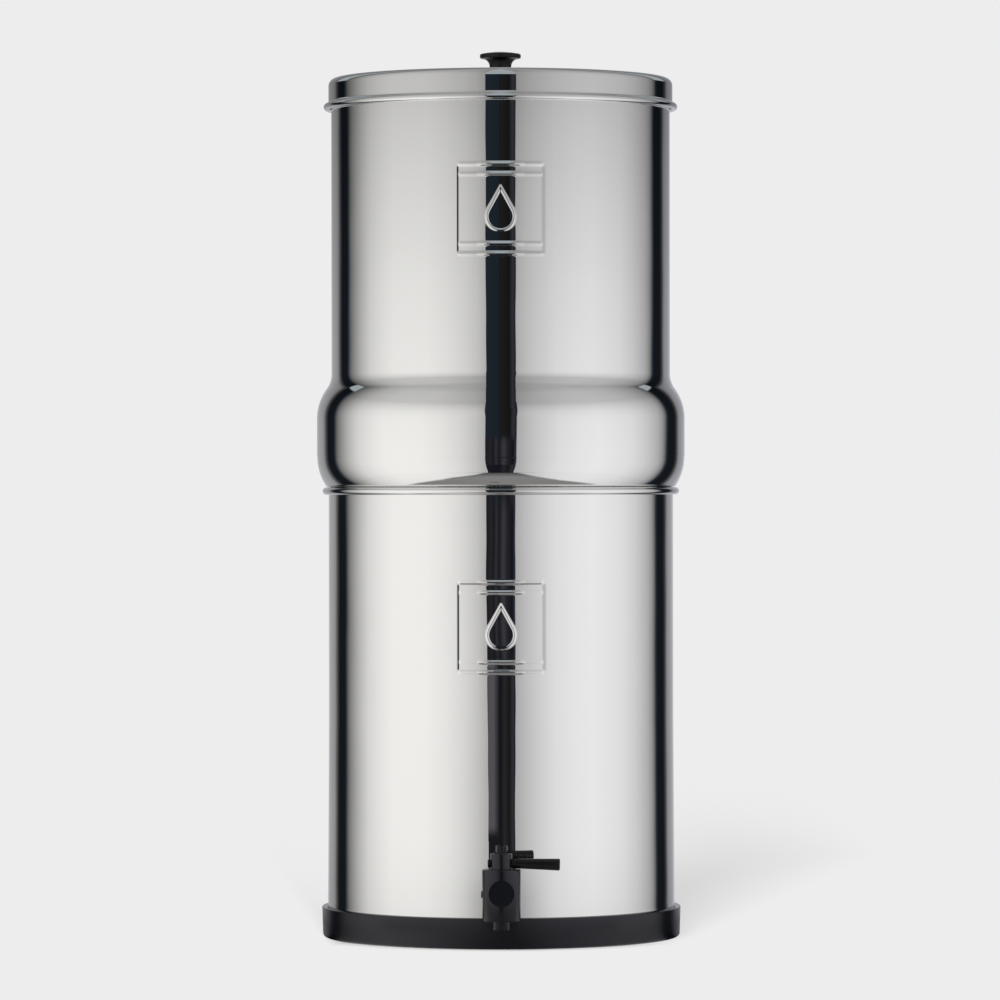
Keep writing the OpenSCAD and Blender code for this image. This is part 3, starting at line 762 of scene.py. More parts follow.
class WATERFILTER_OT_lid(bpy.types.Operator):
    """Build the pressed lid with its rounded top edge and rolled bead"""

    bl_idname = "water_filter.lid"
    bl_label = "Lid"

    def execute(self, context):
        s = context.scene.filter_steel
        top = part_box("lid")[1].z
        bead_z = top - s.lid_h
        bead_r = s.lid_wall + s.lid_bead_out - s.lid_bead
        hole_r = 2.4 * MM
        corner_r, corner_z = s.lid_wall - s.lid_corner, top - s.lid_corner
        fillet = 1.3 * MM
        across = bead_r - s.lid_wall - fillet
        fillet_z = bead_z + sqrt((fillet + s.lid_bead) ** 2 - across**2)
        meet = degrees(atan2(bead_z - fillet_z, across)) % 360
        inner = degrees(acos((s.lid_wall - s.sheet - bead_r) / s.lid_bead))
        skin = Outline("lid_shell", hole_r, top - s.sheet)
        skin.line(hole_r, top).line(20 * MM, top).line(corner_r - MM, top, 3).line(corner_r, top)
        skin.arc(corner_r, corner_z, -90, 20)
        skin.line(s.lid_wall, corner_z - MM).line(s.lid_wall, fillet_z + MM).line(s.lid_wall, fillet_z)
        skin.arc(s.lid_wall + fillet, fillet_z, meet - 180, 10)
        skin.arc(bead_r, bead_z, -(meet - 180 + inner), 32)
        skin.line(s.lid_wall - s.sheet, corner_z)
        skin.arc(corner_r, corner_z, 90, 10)
        skin.line(20 * MM, top - s.sheet).line(hole_r, top - s.sheet)
        place(skin.turn((360, 288)), "cover", "polished_steel", "lid")
        return {"FINISHED"}


# ---------------------------------------------------------------- black pieces


class WATERFILTER_OT_base_ring(bpy.types.Operator):
    """Build the moulded ring that the lower chamber stands in"""

    bl_idname = "water_filter.base_ring"
    bl_label = "Base Ring"

    def execute(self, context):
        s = context.scene.filter_steel
        wall_in = s.lower_r + s.flare + 0.3 * MM
        top_r = wall_in + 3.2 * MM
        low_r = top_r - 0.5 * MM
        h = 18 * MM
        web_r, foot_r, web_z = 89.9 * MM, 101 * MM, 4 * MM
        skin = Outline("base_ring_moulding", foot_r, 0)
        skin.line(low_r - 2 * MM, 0).arc(low_r - 2 * MM, 2 * MM, 90, 12)
        skin.line(top_r, h - 0.6 * MM).arc(top_r - 0.6 * MM, h - 0.6 * MM, 90, 8)
        skin.line(wall_in + 0.4 * MM, h - 0.5 * MM).line(wall_in, h - 0.9 * MM)
        skin.line(wall_in, s.lower_z).line(web_r, s.lower_z)
        skin.line(web_r, web_z).line(foot_r, web_z).line(foot_r, 0)
        place(skin.turn((360, 240)), "stand", "black_plastic", "base_ring")
        return {"FINISHED"}


class WATERFILTER_OT_lid_knob(bpy.types.Operator):
    """Build the lid's knob with its flared neck and slightly domed top"""

    bl_idname = "water_filter.lid_knob"
    bl_label = "Lid Knob"

    def execute(self, context):
        low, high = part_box("lid_knob")
        z, top = low.z, high.z
        bore = 2.04 * MM
        skin = Outline("knob_moulding", bore, z)
        skin.line(6.1 * MM, z).line(6.3 * MM, z + 0.3 * MM).line(6.5 * MM, top - 8.85 * MM, 2)
        skin.arc(11.3 * MM, top - 8.85 * MM, -80, 16).line(11.5 * MM, top - 4 * MM)
        skin.arc(11.5 * MM, top - 3.2 * MM, 90, 8).line(12.3 * MM, top - 2.2 * MM)
        skin.arc(11.3 * MM, top - 2.2 * MM, 75, 8).line(8 * MM, top - 0.62 * MM, 2)
        skin.line(4 * MM, top - 0.17 * MM).line(0, top)
        skin.line(0, z + 9.8 * MM).line(bore, z + 9.8 * MM).line(bore, z)
        place(skin.turn((360, 96)), "cover", "knob_plastic", "lid_knob", sharp=40)
        return {"FINISHED"}


class WATERFILTER_OT_tap_body(bpy.types.Operator):
    """Build the tap's housing, barrel, flange, threaded stem and spout"""

    bl_idname = "water_filter.tap_body"
    bl_label = "Tap Body"

    def execute(self, context):
        t = context.scene.filter_tap
        body = self.housing(t)
        join(body, self.barrel(t), self.boss(t), self.nub(t))
        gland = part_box("tap_gland_ring")
        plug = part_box("tap_plug")
        bore = drill("bore", t.plug_r + 0.05 * MM, 0, t.axis_y, plug[0].z - 0.3 * MM, 40 * MM, 64)
        recess = drill("recess", gland[1].x + 0.04 * MM, 0, t.axis_y, gland[0].z, 5 * MM, 64)
        way = drill("way", t.way_r, 0, t.axis_y, 5 * MM, 25 * MM)
        inlet = turned(drill("inlet", t.way_r, 0, 0, 0, 60 * MM), "X", 90)
        cut(body, bore, recess, way, moved(inlet, 0, t.axis_y + 61.3 * MM, t.axis_z))
        place(body, "stand", "tap_plastic", "tap_body", sharp=30)
        return {"FINISHED"}

    @staticmethod
    def housing(t):
        """The upright housing with the spout under it."""
        top, low = t.axis_z + t.house_up, t.axis_z - t.house_down
        low_r = t.house_r - t.house_draft
        end = low - t.spout_l
        skin = Outline("tap_moulding", 0, end, radians(1.1))
        skin.line(t.spout_r - 0.4 * MM, end).arc(t.spout_r - 0.4 * MM, end + 0.4 * MM, 90, 5)
        skin.line(t.spout_r, low - 0.5 * MM).arc(t.spout_r + 0.5 * MM, low - 0.5 * MM, -90, 5)
        skin.line(low_r - 0.7 * MM, low).arc(low_r - 0.7 * MM, low + 0.7 * MM, 90, 6)
        skin.line(t.house_r, top - t.edge - 0.5 * MM).line(t.house_r, top - t.edge)
        skin.arc(t.house_r - t.edge, top - t.edge, 90, 8).line(0, top)
        return moved(skin.turn((360, 120)), 0, t.axis_y, 0)

    @staticmethod
    def barrel(t):
        """The threaded stem, flange and barrel, built upright and laid down along -Y."""
        stem = -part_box("tap_body")[1].y
        back = stem + 20 * MM
        front = back + t.flange_t
        skin = Outline("tap_barrel", 0, stem, radians(1.6))
        skin.line(t.stem_r - 0.9 * MM, stem).thread(t.stem_r, 0.6 * MM, stem + 0.5 * MM, back - 0.3 * MM)
        skin.line(t.stem_r - 0.6 * MM, back).line(t.flange_r - 0.5 * MM, back)
        skin.arc(t.flange_r - 0.5 * MM, back + 0.5 * MM, 90, 4).line(t.flange_r, front - 0.6 * MM)
        skin.arc(t.flange_r - 0.6 * MM, front - 0.6 * MM, 90, 5).line(t.barrel_r + 1.2 * MM, front)
        skin.arc(t.barrel_r + 1.2 * MM, front + 1.2 * MM, -90, 7)
        skin.line(t.barrel_r, -t.axis_y).line(0, -t.axis_y)
        return moved(turned(skin.turn((360, 96)), "X", 90), 0, 0, t.axis_z)

    @staticmethod
    def boss(t):
        """The round boss on the housing's front, with its flat face."""
        nose = -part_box("tap_body")[0].y
        skin = Outline("tap_boss", 0, nose - 9 * MM, radians(0.7))
        skin.line(t.barrel_r, nose - 9 * MM).line(t.barrel_r, nose - 0.35 * MM, 2)
        skin.arc(t.barrel_r - 0.35 * MM, nose - 0.35 * MM, 90, 5)
        skin.line(t.barrel_r - 0.7 * MM, nose).line(0, nose)
        return moved(turned(skin.turn((360, 96)), "X", 90), 0, 0, t.axis_z + t.boss_up)

    @staticmethod
    def nub(t):
        """The moulding's small round nub on the housing's left."""
        skin = Outline("tap_nub", 0, t.house_r - 1.5 * MM, radians(2.3))
        skin.line(2.1 * MM, t.house_r - 1.5 * MM).line(2.1 * MM, t.house_r - 0.1 * MM)
        skin.arc(1.6 * MM, t.house_r - 0.1 * MM, 80, 5).line(0, t.house_r + 0.5 * MM)
        return moved(turned(skin.turn((360, 40)), "Y", -90), 0, t.axis_y, t.axis_z)


class WATERFILTER_OT_tap_plug(bpy.types.Operator):
    """Build the turning plug with its hub, water ways and seal grooves"""

    bl_idname = "water_filter.tap_plug"
    bl_label = "Tap Plug"

    def execute(self, context):
        t = context.scene.filter_tap
        low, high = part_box("tap_plug")
        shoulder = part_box("tap_gland_ring")[0].z - 0.3 * MM
        seal = 0.84 * MM
        face = high.z - 0.3 * MM
        skin = Outline("tap_plug_moulding", 0, low.z)
        skin.line(t.plug_r - 0.4 * MM, low.z).line(t.plug_r, low.z + 0.4 * MM)
        for z in (t.axis_z - 7.5 * MM, t.axis_z + 6.5 * MM):
            skin.line(t.plug_r, z - seal).line(t.plug_r - 2 * seal, z - seal)
            skin.line(t.plug_r - 2 * seal, z + seal).line(t.plug_r, z + seal)
        skin.line(t.plug_r, shoulder).line(t.hub_r, shoulder).line(t.hub_r, high.z - 0.5 * MM, 2)
        skin.arc(t.hub_r - 0.5 * MM, high.z - 0.5 * MM, 90, 6)
        skin.line(t.hub_r - 1.1 * MM, high.z).line(t.hub_r - 1.4 * MM, face).line(0, face)
        plug = moved(skin.turn((360, 96)), 0, t.axis_y, 0)
        lever_z = t.axis_z + t.house_up + t.lever_up
        up_way = drill("up_way", t.way_r, 0, t.axis_y, low.z - 5 * MM, t.axis_z - low.z + 5.7 * MM)
        side_way = drill("side_way", 0.97 * t.way_r, 0, 0, -0.6 * MM, 12 * MM, 44)
        moved(turned(side_way, "Y", -90), 0, t.axis_y, t.axis_z)
        cross = drill("cross", 2.04 * MM, 0, 0, -10 * MM, 20 * MM)
        cut(plug, up_way, side_way, moved(turned(cross, "Y", 90), 0, t.axis_y, lever_z))
        place(plug, "tap_valve", "tap_plastic", "tap_plug", sharp=30)
        return {"FINISHED"}


class WATERFILTER_OT_tap_lever(bpy.types.Operator):
    """Build the lever with its pin, its stub and the groove near its tip"""

    bl_idname = "water_filter.tap_lever"
    bl_label = "Tap Lever"

    def execute(self, context):
        t = context.scene.filter_tap
        low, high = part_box("tap_lever")
        start = t.hub_r + 0.04 * MM
        reach = high.x - start - 0.06 * MM
        droop = degrees(atan2(t.lever_tip - t.lever_root, reach))
        groove = reach - t.lever_groove
        groove_r = t.lever_root + (t.lever_tip - t.lever_root) * groove / reach
        grip = Outline("lever_moulding", 0, 0)
        grip.line(t.lever_root - 0.3 * MM, 0).arc(t.lever_root - 0.3 * MM, 0.3 * MM, 90, 4)
        grip.line(groove_r, groove - 0.18 * MM, 3).line(groove_r - 0.22 * MM, groove)
        grip.line(groove_r, groove + 0.18 * MM)
        grip.line(t.lever_tip, reach - 0.8 * MM, 2).arc(t.lever_tip - 0.8 * MM, reach - 0.8 * MM, 80, 7)
        grip.line(0, reach)
        lever = moved(turned(grip.turn((360, 64)), "Y", 90 + droop), start, 0, 0)
        pin = Outline("lever_pin", 0, low.x, radians(1.7))
        pin.line(1.9 * MM, low.x).arc(1.9 * MM, low.x + 0.5 * MM, 90, 5).line(2.4 * MM, -start)
        pin.line(2 * MM, -start).line(2 * MM, start + 0.5 * MM).line(0, start + 0.5 * MM)
        join(lever, turned(pin.turn((360, 48)), "Y", 90))
        moved(lever, 0, t.axis_y, t.axis_z + t.house_up + t.lever_up)
        place(lever, "tap_valve", "knob_plastic", "tap_lever", sharp=30)
        return {"FINISHED"}


# ---------------------------------------------------------------- candles and fittings


class WATERFILTER_OT_candles(bpy.types.Operator):
    """Build the two ceramic candles"""

    bl_idname = "water_filter.candles"
    bl_label = "Candles"

    def execute(self, context):
        f = context.scene.filter_fittings
        for side in ("left", "right"):
            low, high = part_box(f"candle_shell_{side}")
            r, inner = f.candle_r, f.candle_r - f.candle_wall
            dome = high.z - r
            skin = Outline(f"candle_ceramic_{side}", inner, low.z)
            skin.line(r - 0.8 * MM, low.z).arc(r - 0.8 * MM, low.z + 0.8 * MM, 90, 5).line(r, dome, 12)
            skin.arc(0, dome, 90, 24).line(0, dome + inner).arc(0, dome, -90, 16).line(inner, low.z)
            shell = moved(skin.turn((360, 96)), (low.x + high.x) / 2, 0, 0)
            place(shell, "upper", "ceramic", f"candle_shell_{side}")
        return {"FINISHED"}


def threaded_stem(name, start_r, stem_r, low, seat):
    """The outline of a fitting from its stem's end, at height low, to the seat of its head."""
    skin = Outline(name, start_r, low)
    skin.line(stem_r - 0.8 * MM, low).thread(stem_r, 0.5 * MM, low + 0.4 * MM, seat - 3 * MM)
    return skin.line(stem_r, seat - 2.6 * MM).line(stem_r, seat)


def flute(piece, r, low, high, depth):
    """Sinks every other pair of faces of the band at radius r between low and high, as grip flutes."""

    def in_flute(face):
        x, y, z = face.center
        step = int(degrees(atan2(y, x)) % 360 / 2.5)
        return low < z < high and hypot(x, y) > r - 0.1 * MM and step % 4 < 2

    pick(piece, "FACE", in_flute)
    bpy.ops.mesh.inset(thickness=0.25 * MM, depth=-depth)
    bpy.ops.mesh.select_mode(type="VERT")
    mode("OBJECT")


class WATERFILTER_OT_candle_bases(bpy.types.Operator):
    """Build the candles' fluted bases with their threaded stems"""

    bl_idname = "water_filter.candle_bases"
    bl_label = "Candle Bases"

    def execute(self, context):
        f = context.scene.filter_fittings
        for side in ("left", "right"):
            low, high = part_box(f"candle_base_{side}")
            out = (high.x - low.x) / 2
            seat = high.z - 12 * MM
            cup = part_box(f"candle_shell_{side}")[0].z - 0.04 * MM
            skin = threaded_stem(f"candle_fitting_{side}", f.way_r, f.stem_r, low.z, seat)
            skin.line(out - 0.6 * MM, seat).arc(out - 0.6 * MM, seat + 0.6 * MM, 90, 5)
            skin.line(out, high.z - 2 * MM).line(out, high.z - 0.5 * MM)
            skin.arc(out - 0.5 * MM, high.z - 0.5 * MM, 90, 4)
            skin.line(f.candle_r + 0.04 * MM, high.z).line(f.candle_r + 0.04 * MM, cup).line(f.way_r, cup)
            base = skin.line(f.way_r, low.z).turn((360, 144))
            flute(base, out, seat + 0.6 * MM, high.z - 2 * MM, 0.5 * MM)
            moved(base, (low.x + high.x) / 2, 0, 0)
            place(base, "upper", "white_plastic", f"candle_base_{side}", sharp=30)
        return {"FINISHED"}


class WATERFILTER_OT_blank_plugs(bpy.types.Operator):
    """Build the two blanking plugs with their threaded stems"""

    bl_idname = "water_filter.blank_plugs"
    bl_label = "Blanking Plugs"

    def execute(self, context):
        f = context.scene.filter_fittings
        r = f.plug_r
        for side in ("front", "rear"):
            low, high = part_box(f"blank_plug_{side}")
            seat = high.z - 6 * MM
            skin = threaded_stem(f"blanking_plug_{side}", 0, f.stem_r, low.z, seat)
            skin.line(r - 0.5 * MM, seat).arc(r - 0.5 * MM, seat + 0.5 * MM, 90, 4)
            skin.line(r, high.z - 1.4 * MM).arc(r - 1.2 * MM, high.z - 1.4 * MM, 78, 7).line(0, high.z, 3)
            plug = skin.turn((360, 144))
            flute(plug, r, seat + 0.5 * MM, high.z - 1.4 * MM, 0.35 * MM)
            moved(plug, 0, (low.y + high.y) / 2, 0)
            place(plug, "upper", "white_plastic", f"blank_plug_{side}", sharp=30)
        return {"FINISHED"}


class WATERFILTER_OT_wing_nuts(bpy.types.Operator):
    """Build the four wing nuts under the upper chamber's floor"""

    bl_idname = "water_filter.wing_nuts"
    bl_label = "Wing Nuts"

    def execute(self, context):
        model = self.nut(context.scene.filter_fittings, *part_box("wing_nut_right"))
        nodes = ("wing_nut_right", "blank_nut_rear", "wing_nut_left", "blank_nut_front")
        for quarter, node in enumerate(nodes):
            nut = turned(twin(model, f"{node}_moulding"), "Z", 90 * quarter)
            place(nut, "upper", "white_plastic", node, sharp=30)
        bpy.data.objects.remove(model)
        return {"FINISHED"}

    @staticmethod
    def nut(f, low, high):
        """One nut at the right hole: a round hub with two rounded wings."""
        wing_top = high.z - 1 * MM
        nothing_selected()
        size = Vector((high.x - low.x, f.wing_t, wing_top - low.z))
        bpy.ops.mesh.primitive_cube_add(size=1, location=(0, 0, (wing_top + low.z) / 2), scale=size)
        bpy.ops.object.transform_apply(location=True, rotation=True, scale=True)
        wings = bpy.context.object

        def thickness(edge):
            a, b = (wings.data.vertices[i].co.y for i in edge.vertices)
            return abs(a - b)

        pick(wings, "EDGE", lambda edge: thickness(edge) > 1 * MM)
        bpy.ops.mesh.bevel(offset=3.2 * MM, segments=7, affect="EDGES")
        pick(wings, "EDGE", lambda edge: thickness(edge) < 0.01 * MM)
        bpy.ops.mesh.bevel(offset=0.7 * MM, segments=3, affect="EDGES")
        hub_r, foot = f.nut_r, high.z - 8 * MM
        skin = Outline("wing_nut_hub", 0, foot)
        skin.line(hub_r - 1.6 * MM, foot).arc(hub_r - 1.6 * MM, high.z - 7.2 * MM, 70, 5)
        skin.line(hub_r, high.z - 1.2 * MM).line(hub_r, high.z - 0.3 * MM).line(hub_r - 0.3 * MM, high.z)
        hub = skin.line(0, high.z).turn((360, 64))
        join(hub, wings)
        cut(hub, drill("nut_hole", f.stem_r + 0.04 * MM, 0, 0, low.z - 5 * MM, 25 * MM))
        return moved(hub, (low.x + high.x) / 2, 0, 0)


class WATERFILTER_OT_kept_solids(bpy.types.Operator):
    """Give the solids that stay as they are their finishes"""

    bl_idname = "water_filter.kept_solids"
    bl_label = "Kept Solids"

    def execute(self, context):
        slots = {row["node"]: row["material_slot"] for row in frame["record"]["subparts"]}
        for name, node in frame["nodes"].items():
            if not node.hide_render:
                node.data.materials.clear()
                node.data.materials.append(finish_for(slots[name]))
        return {"FINISHED"}


# ---------------------------------------------------------------- studio

BACKDROP = (0.847, 0.847, 0.847, 1)
WORLD_FILL = (0.88, 0.88, 0.88, 1)
CEILING = (0.365, 0.405, 0.425)
TENT_R, TENT_H = 0.5, 1.6
# The kerb's radius at its top, how much wider its foot is, and how far its pattern lies below the tent's.
KERB_R, KERB_LEAN, KERB_DROP = 0.33, 1.037, 0.0098
# The radius at which the steel mirrors the tent, and a first guess at where, as a share of the turn.
MIRROR_R, MIDDLE_TURN = 0.104, 0.57
# Light of the panels left and right of the slot, by degrees from the front.
LEFT_LIGHT = (
    (0, 0.48), (9, 0.5), (14, 0.63), (22, 0.78), (32, 0.9), (45, 0.99), (58, 1.0), (70, 0.99), (80, 0.9),
    (90, 0.77), (99, 0.55), (105, 0.38), (111, 0.21), (115.5, 0.035), (117.5, 0.01), (126.5, 0.01),
    (131, 0.09), (134.5, 0.26), (139, 0.34), (148, 0.385), (158, 0.5), (180, 0.72),
)
RIGHT_LIGHT = (
    (0, 0.46), (9, 0.48), (14, 0.58), (22, 0.71), (32, 0.84), (45, 0.92), (57, 0.95), (68, 0.91), (80, 0.85),
    (91, 0.72), (98, 0.61), (105, 0.49), (110, 0.34), (113.5, 0.16), (115.5, 0.035), (118, 0.01),
    (127.5, 0.01), (131.5, 0.06), (135.5, 0.25), (139, 0.31), (148, 0.38), (161, 0.62), (180, 0.78),
)
LEFT_TINT, RIGHT_TINT, COLD = (1, 0.991, 0.972), (0.99, 0.985, 0.995), (0.8, 1.05, 1.4)
# How that light falls off with height, in metres.
HEIGHT_LIGHT = (
    (-0.0098, 0.89), (0.0, 0.925), (0.004, 0.935), (0.02, 0.965), (0.04, 0.99), (0.12, 1.0), (0.24, 1.0),
    (0.30, 0.975), (0.36, 0.92), (0.40, 0.88), (0.45, 0.79), (0.5, 0.69), (0.53, 0.61), (0.6, 0.6),
    (0.75, 0.57), (0.9, 0.48), (1.3, 0.4),
)
# Half the slot's width in degrees, by height.
SLOT_HALF = ((0.04, 7.7), (0.1, 8.15), (0.2, 8.5), (0.32, 8.55), (0.4, 9.0))
# Tones across the slot from its left edge, 0, to its right edge, 1: high up, in the middle and low down.
SLOT_HIGH = (
    (0.0, (0.015, 0.020, 0.028)), (0.44, (0.012, 0.017, 0.024)), (0.48, (0.009, 0.011, 0.012)),
    (0.53, (0.013, 0.013, 0.013)), (0.78, (0.008, 0.008, 0.008)), (0.9, (0.034, 0.034, 0.038)),
    (0.97, (0.016, 0.020, 0.026)),
)
SLOT_MIDDLE = (
    (0.0, (0.011, 0.012, 0.017)), (0.17, (0.024, 0.020, 0.024)), (0.27, (0.010, 0.012, 0.016)),
    (0.35, (0.034, 0.033, 0.038)), (0.45, (0.009, 0.012, 0.016)), (0.6, (0.046, 0.046, 0.054)),
    (0.72, (0.020, 0.019, 0.025)), (0.9, (0.007, 0.008, 0.012)), (0.98, (0.030, 0.036, 0.047)),
)
SLOT_LOW = (
    (0.0, (0.012, 0.012, 0.016)), (0.4, (0.009, 0.010, 0.014)), (0.48, (0.009, 0.009, 0.013)),
    (0.6, (0.024, 0.021, 0.024)), (0.78, (0.010, 0.009, 0.010)), (0.92, (0.033, 0.034, 0.040)),
    (0.97, (0.012, 0.015, 0.020)),
)
# Tones across the grey strip, a painted reflection.
GREY_STRIP = (
    (0.0, (0.1, 0.093, 0.106)), (0.52, (0.092, 0.087, 0.096)), (0.66, (0.05, 0.049, 0.055)),
    (0.82, (0.036, 0.036, 0.042)), (0.95, (0.009, 0.010, 0.014)),
)
# The floor's painted tones in reflections: half the width of the slot's painted shade by distance in
# front, that shade's tone and the floor's painted light by distance from the middle, and how far painted
# shade dims the floor beside the object.
LEFT_WEDGE = ((0.0, 0.31), (0.168, 0.275), (0.336, 0.2), (0.43, 0.12), (0.5, 0.085), (0.75, 0.02))
RIGHT_WEDGE = ((0.0, 0.34), (0.18, 0.265), (0.376, 0.15), (0.5, 0.085), (0.75, 0.02))
WEDGE_TONE = (
    (0.2, (0.265, 0.255, 0.25)), (0.28, (0.235, 0.228, 0.22)), (0.38, (0.243, 0.24, 0.24)),
    (0.45, (0.135, 0.134, 0.134)), (0.5, (0.07, 0.068, 0.068)), (0.8, (0.02, 0.02, 0.022)),
)
FLOOR_FALL = ((0.2, 0.84), (0.35, 0.93), (0.6, 1.0))
LEFT_DIM = ((0, 0.35), (20, 0.55), (35, 0.75), (50, 0.93), (65, 1.0), (85, 0.85), (105, 0.68), (126, 0.65))
RIGHT_DIM = ((0, 0.35), (20, 0.5), (38, 0.62), (52, 0.72), (66, 0.82), (82, 0.8), (105, 0.78), (126, 0.65))
# The strip and the card are reckoned from here, in metres ahead of the middle.
WALL_AHEAD = 0.1035
# How the grey strip's tones spread to the front, and their left edge and width in that spread.
STRIP_GROWS, STRIP_SPREAD, STRIP_LEFT, STRIP_WIDTH = 6.745, 0.349, 0.0227, 0.0195
# Half the dark card's width where it starts, over the bulge's shoulder, and how fast that grows.
CARD_HALF, CARD_GROWS = 0.00905, 0.1355


def half_turns(stops):
    """Stops of (degrees, grey) as ramp stops over half a turn."""
    return [(angle / 180, level) for angle, level in stops]


def tinted(stops, tint):
    """The same in a tint, with a cold cast where it is nearly dark."""
    return [
        (turn, tuple(level * c for c in (COLD if level < 0.05 else tint)))
        for turn, level in half_turns(stops)
    ]


def side_light(x, turn):
    """Light of the two broad panels at turn, in half turns from the front."""
    left = turn.ramp(tinted(LEFT_LIGHT, LEFT_TINT))
    right = turn.ramp(tinted(RIGHT_LIGHT, RIGHT_TINT))
    cast = x.nodes.mixed(turn.rise(0.71, 0.76), (1.0, 1.0, 1.0), (0.98, 0.995, 1.06))
    return left.where(x.above(0.0), right).times(cast)


def slot_tones(across, z):
    """Dark gear behind the slot between the panels, by its place across the slot and its height."""
    lower = across.ramp(SLOT_LOW).where(z.rise(0.15, 0.165), across.ramp(SLOT_MIDDLE))
    return lower.where(z.rise(0.25, 0.275), across.ramp(SLOT_HIGH))


def turn_behind(turn, reach):
    """The turn on the tent that the steel mirrors in line with a nearer point, at turn and reach."""
    nodes = turn.nodes
    ratio = nodes.math("MINIMUM", nodes.math("DIVIDE", MIRROR_R, reach), 0.98)
    half = turn * (MIDDLE_TURN * pi)
    for _ in range(3):
        lean = nodes.math("ARCSINE", ratio * nodes.math("SINE", half))
        half = (turn * pi + lean) * 0.5
    far = nodes.math("ARCSINE", MIRROR_R / TENT_R * nodes.math("SINE", half))
    return turn + (lean - far) / pi


def tent_light(name="light_tent", reach=TENT_R):
    """Light of the tent: two broad panels, a dark slot in front and dark strips at the sides.

    With a smaller reach it is the same pattern on a wall that stands nearer than the tent.
    """
    nodes = Nodes(name)
    x, ahead, z = nodes.stage_place()
    angle = nodes.math("ARCTAN2", x, ahead) / pi
    turn = abs(angle)
    if reach < TENT_R:
        turn = turn_behind(turn, reach)
        angle = turn * nodes.math("SIGN", angle)
        z = z - KERB_DROP
    sides = side_light(x, turn)
    fall = [((height + KERB_DROP) / TENT_H, level) for height, level in HEIGHT_LIGHT]
    lit = sides.times(((z + KERB_DROP) / TENT_H).ramp(fall))
    # Painted shade near the floor beside the slot, and a little painted light above about 0.3 m there.
    near_slot = turn.rise(0.17, 0.04)
    for start, end, level in ((0.03, 0.0, 0.8), (0.28, 0.38, 1.1)):
        lit = lit.where(z.rise(start, end) * near_slot, lit.times((level, level, level)))
    across = angle / z.ramp([(height, half / 180) for height, half in SLOT_HALF])
    in_slot = abs(across).rise(1.02, 0.98)
    lit = lit.where(in_slot, slot_tones(across * 0.5 + 0.5, z))
    dark = in_slot.most(sides.rise(0.16, 0.03))
    return nodes.show(nodes.light(lit.where(z.rise(0.56, 0.575) * dark, CEILING)))


def grey_strip():
    """Grey strip that shows in the lower half of the slot, its tones narrowing towards the object.

    It glows and is seen only in reflections: a painted grey reflection in the steel.
    """
    nodes = Nodes("grey_strip")
    x, ahead, z = nodes.stage_place()
    spread = (ahead - WALL_AHEAD) * STRIP_GROWS + STRIP_SPREAD
    tones = ((x / spread + STRIP_LEFT) / STRIP_WIDTH).ramp(GREY_STRIP)
    return nodes.show(nodes.light(nodes.mixed(z.rise(0.057, 0.065), (0.012, 0.012, 0.015), tones)))


def dark_card():
    """Dark card over the bulge's shoulder, in the tones of the slot.

    It glows and is seen only in reflections: a painted dark reflection on the shoulder.
    """
    nodes = Nodes("dark_card")
    x, ahead, _ = nodes.stage_place()
    across = x / (CARD_HALF + (ahead - WALL_AHEAD) * CARD_GROWS)
    return nodes.show(nodes.light((across * 0.5 + 0.5).ramp(SLOT_HIGH)))


def past_edge(across, behind, start, start_out, width, width_out):
    """0 in the object's shadow to 1 past its edge, which moves out and softens behind the object."""
    edge = start + behind * start_out
    soft = width + behind * width_out
    return across.nodes.math("DIVIDE", across - edge, soft, clamp=True)


def clear_of_shadow(x, ahead, reach):
    """0 where the object's shadow lies on the floor, 1 well outside it."""
    behind = x.nodes.math("MINIMUM", -ahead, 0.75)
    to_right = past_edge(x, behind, 0.075, 0.12, 0.043, 0.095)
    to_left = past_edge(-x, behind, 0.098, 0.09, 0.01, 0.0)
    return to_right.most(to_left).most(ahead.rise(0.03, 0.09) * reach.rise(0.1, 0.125))


def studio_floor():
    """Pale floor that glossy surfaces see lit as the tent is, with the slot's shade lying on it.

    In reflections the floor glows with painted light, and the shade on it is painted shade.
    """
    nodes = Nodes("studio_floor")
    x, ahead, _ = nodes.stage_place()
    reach = nodes.math("SQRT", nodes.math("POWER", x, 2.0) + nodes.math("POWER", ahead, 2.0))
    turn = turn_behind(abs(nodes.math("ARCTAN2", x, ahead) / pi), reach)
    right = x.above(0.0)
    # Painted light: in reflections the floor glows as the tent lights it, fainter nearer the object.
    lit = side_light(x, turn).times(reach.ramp(FLOOR_FALL))
    # Painted shade: that glow is dimmed beside the object.
    dim = turn.ramp(half_turns(LEFT_DIM)).where(right, turn.ramp(half_turns(RIGHT_DIM)))
    lit = lit.where(reach.rise(0.23, 0.19), lit.times(dim))
    # Painted shade: the slot's dark wedge on the floor in front of the object.
    inside = ahead.ramp(LEFT_WEDGE).where(right, ahead.ramp(RIGHT_WEDGE)) - abs(x)
    shade = inside.rise(-0.018, 0.018) * reach.rise(0.2, 0.245) * ahead.rise(0.1, 0.12)
    seen = nodes.light(lit.where(shade, reach.ramp(WEDGE_TONE)))
    pale = nodes.mixed(nodes.noise(8, 2.0), (0.798,) * 3, (0.802,) * 3)
    paint = nodes.value("ShaderNodeBsdfDiffuse", Color=pale)
    straight = clear_of_shadow(x, ahead, reach) * nodes.value("ShaderNodeLightPath", out="Is Camera Ray")
    flat = nodes.either(straight, paint, nodes.light(BACKDROP))
    return nodes.show(nodes.either(nodes.value("ShaderNodeLightPath", out="Is Glossy Ray"), flat, seen))


def stage_piece(name, material, in_reflections_only=True):
    """Makes the active object a stage piece, by default one that only glossy rays see."""
    mode("OBJECT")
    piece = bpy.context.object
    piece.name = name
    piece.data.materials.append(material)
    if in_reflections_only:
        for kind in ("camera", "diffuse", "transmission", "volume_scatter", "shadow"):
            setattr(piece, f"visible_{kind}", False)


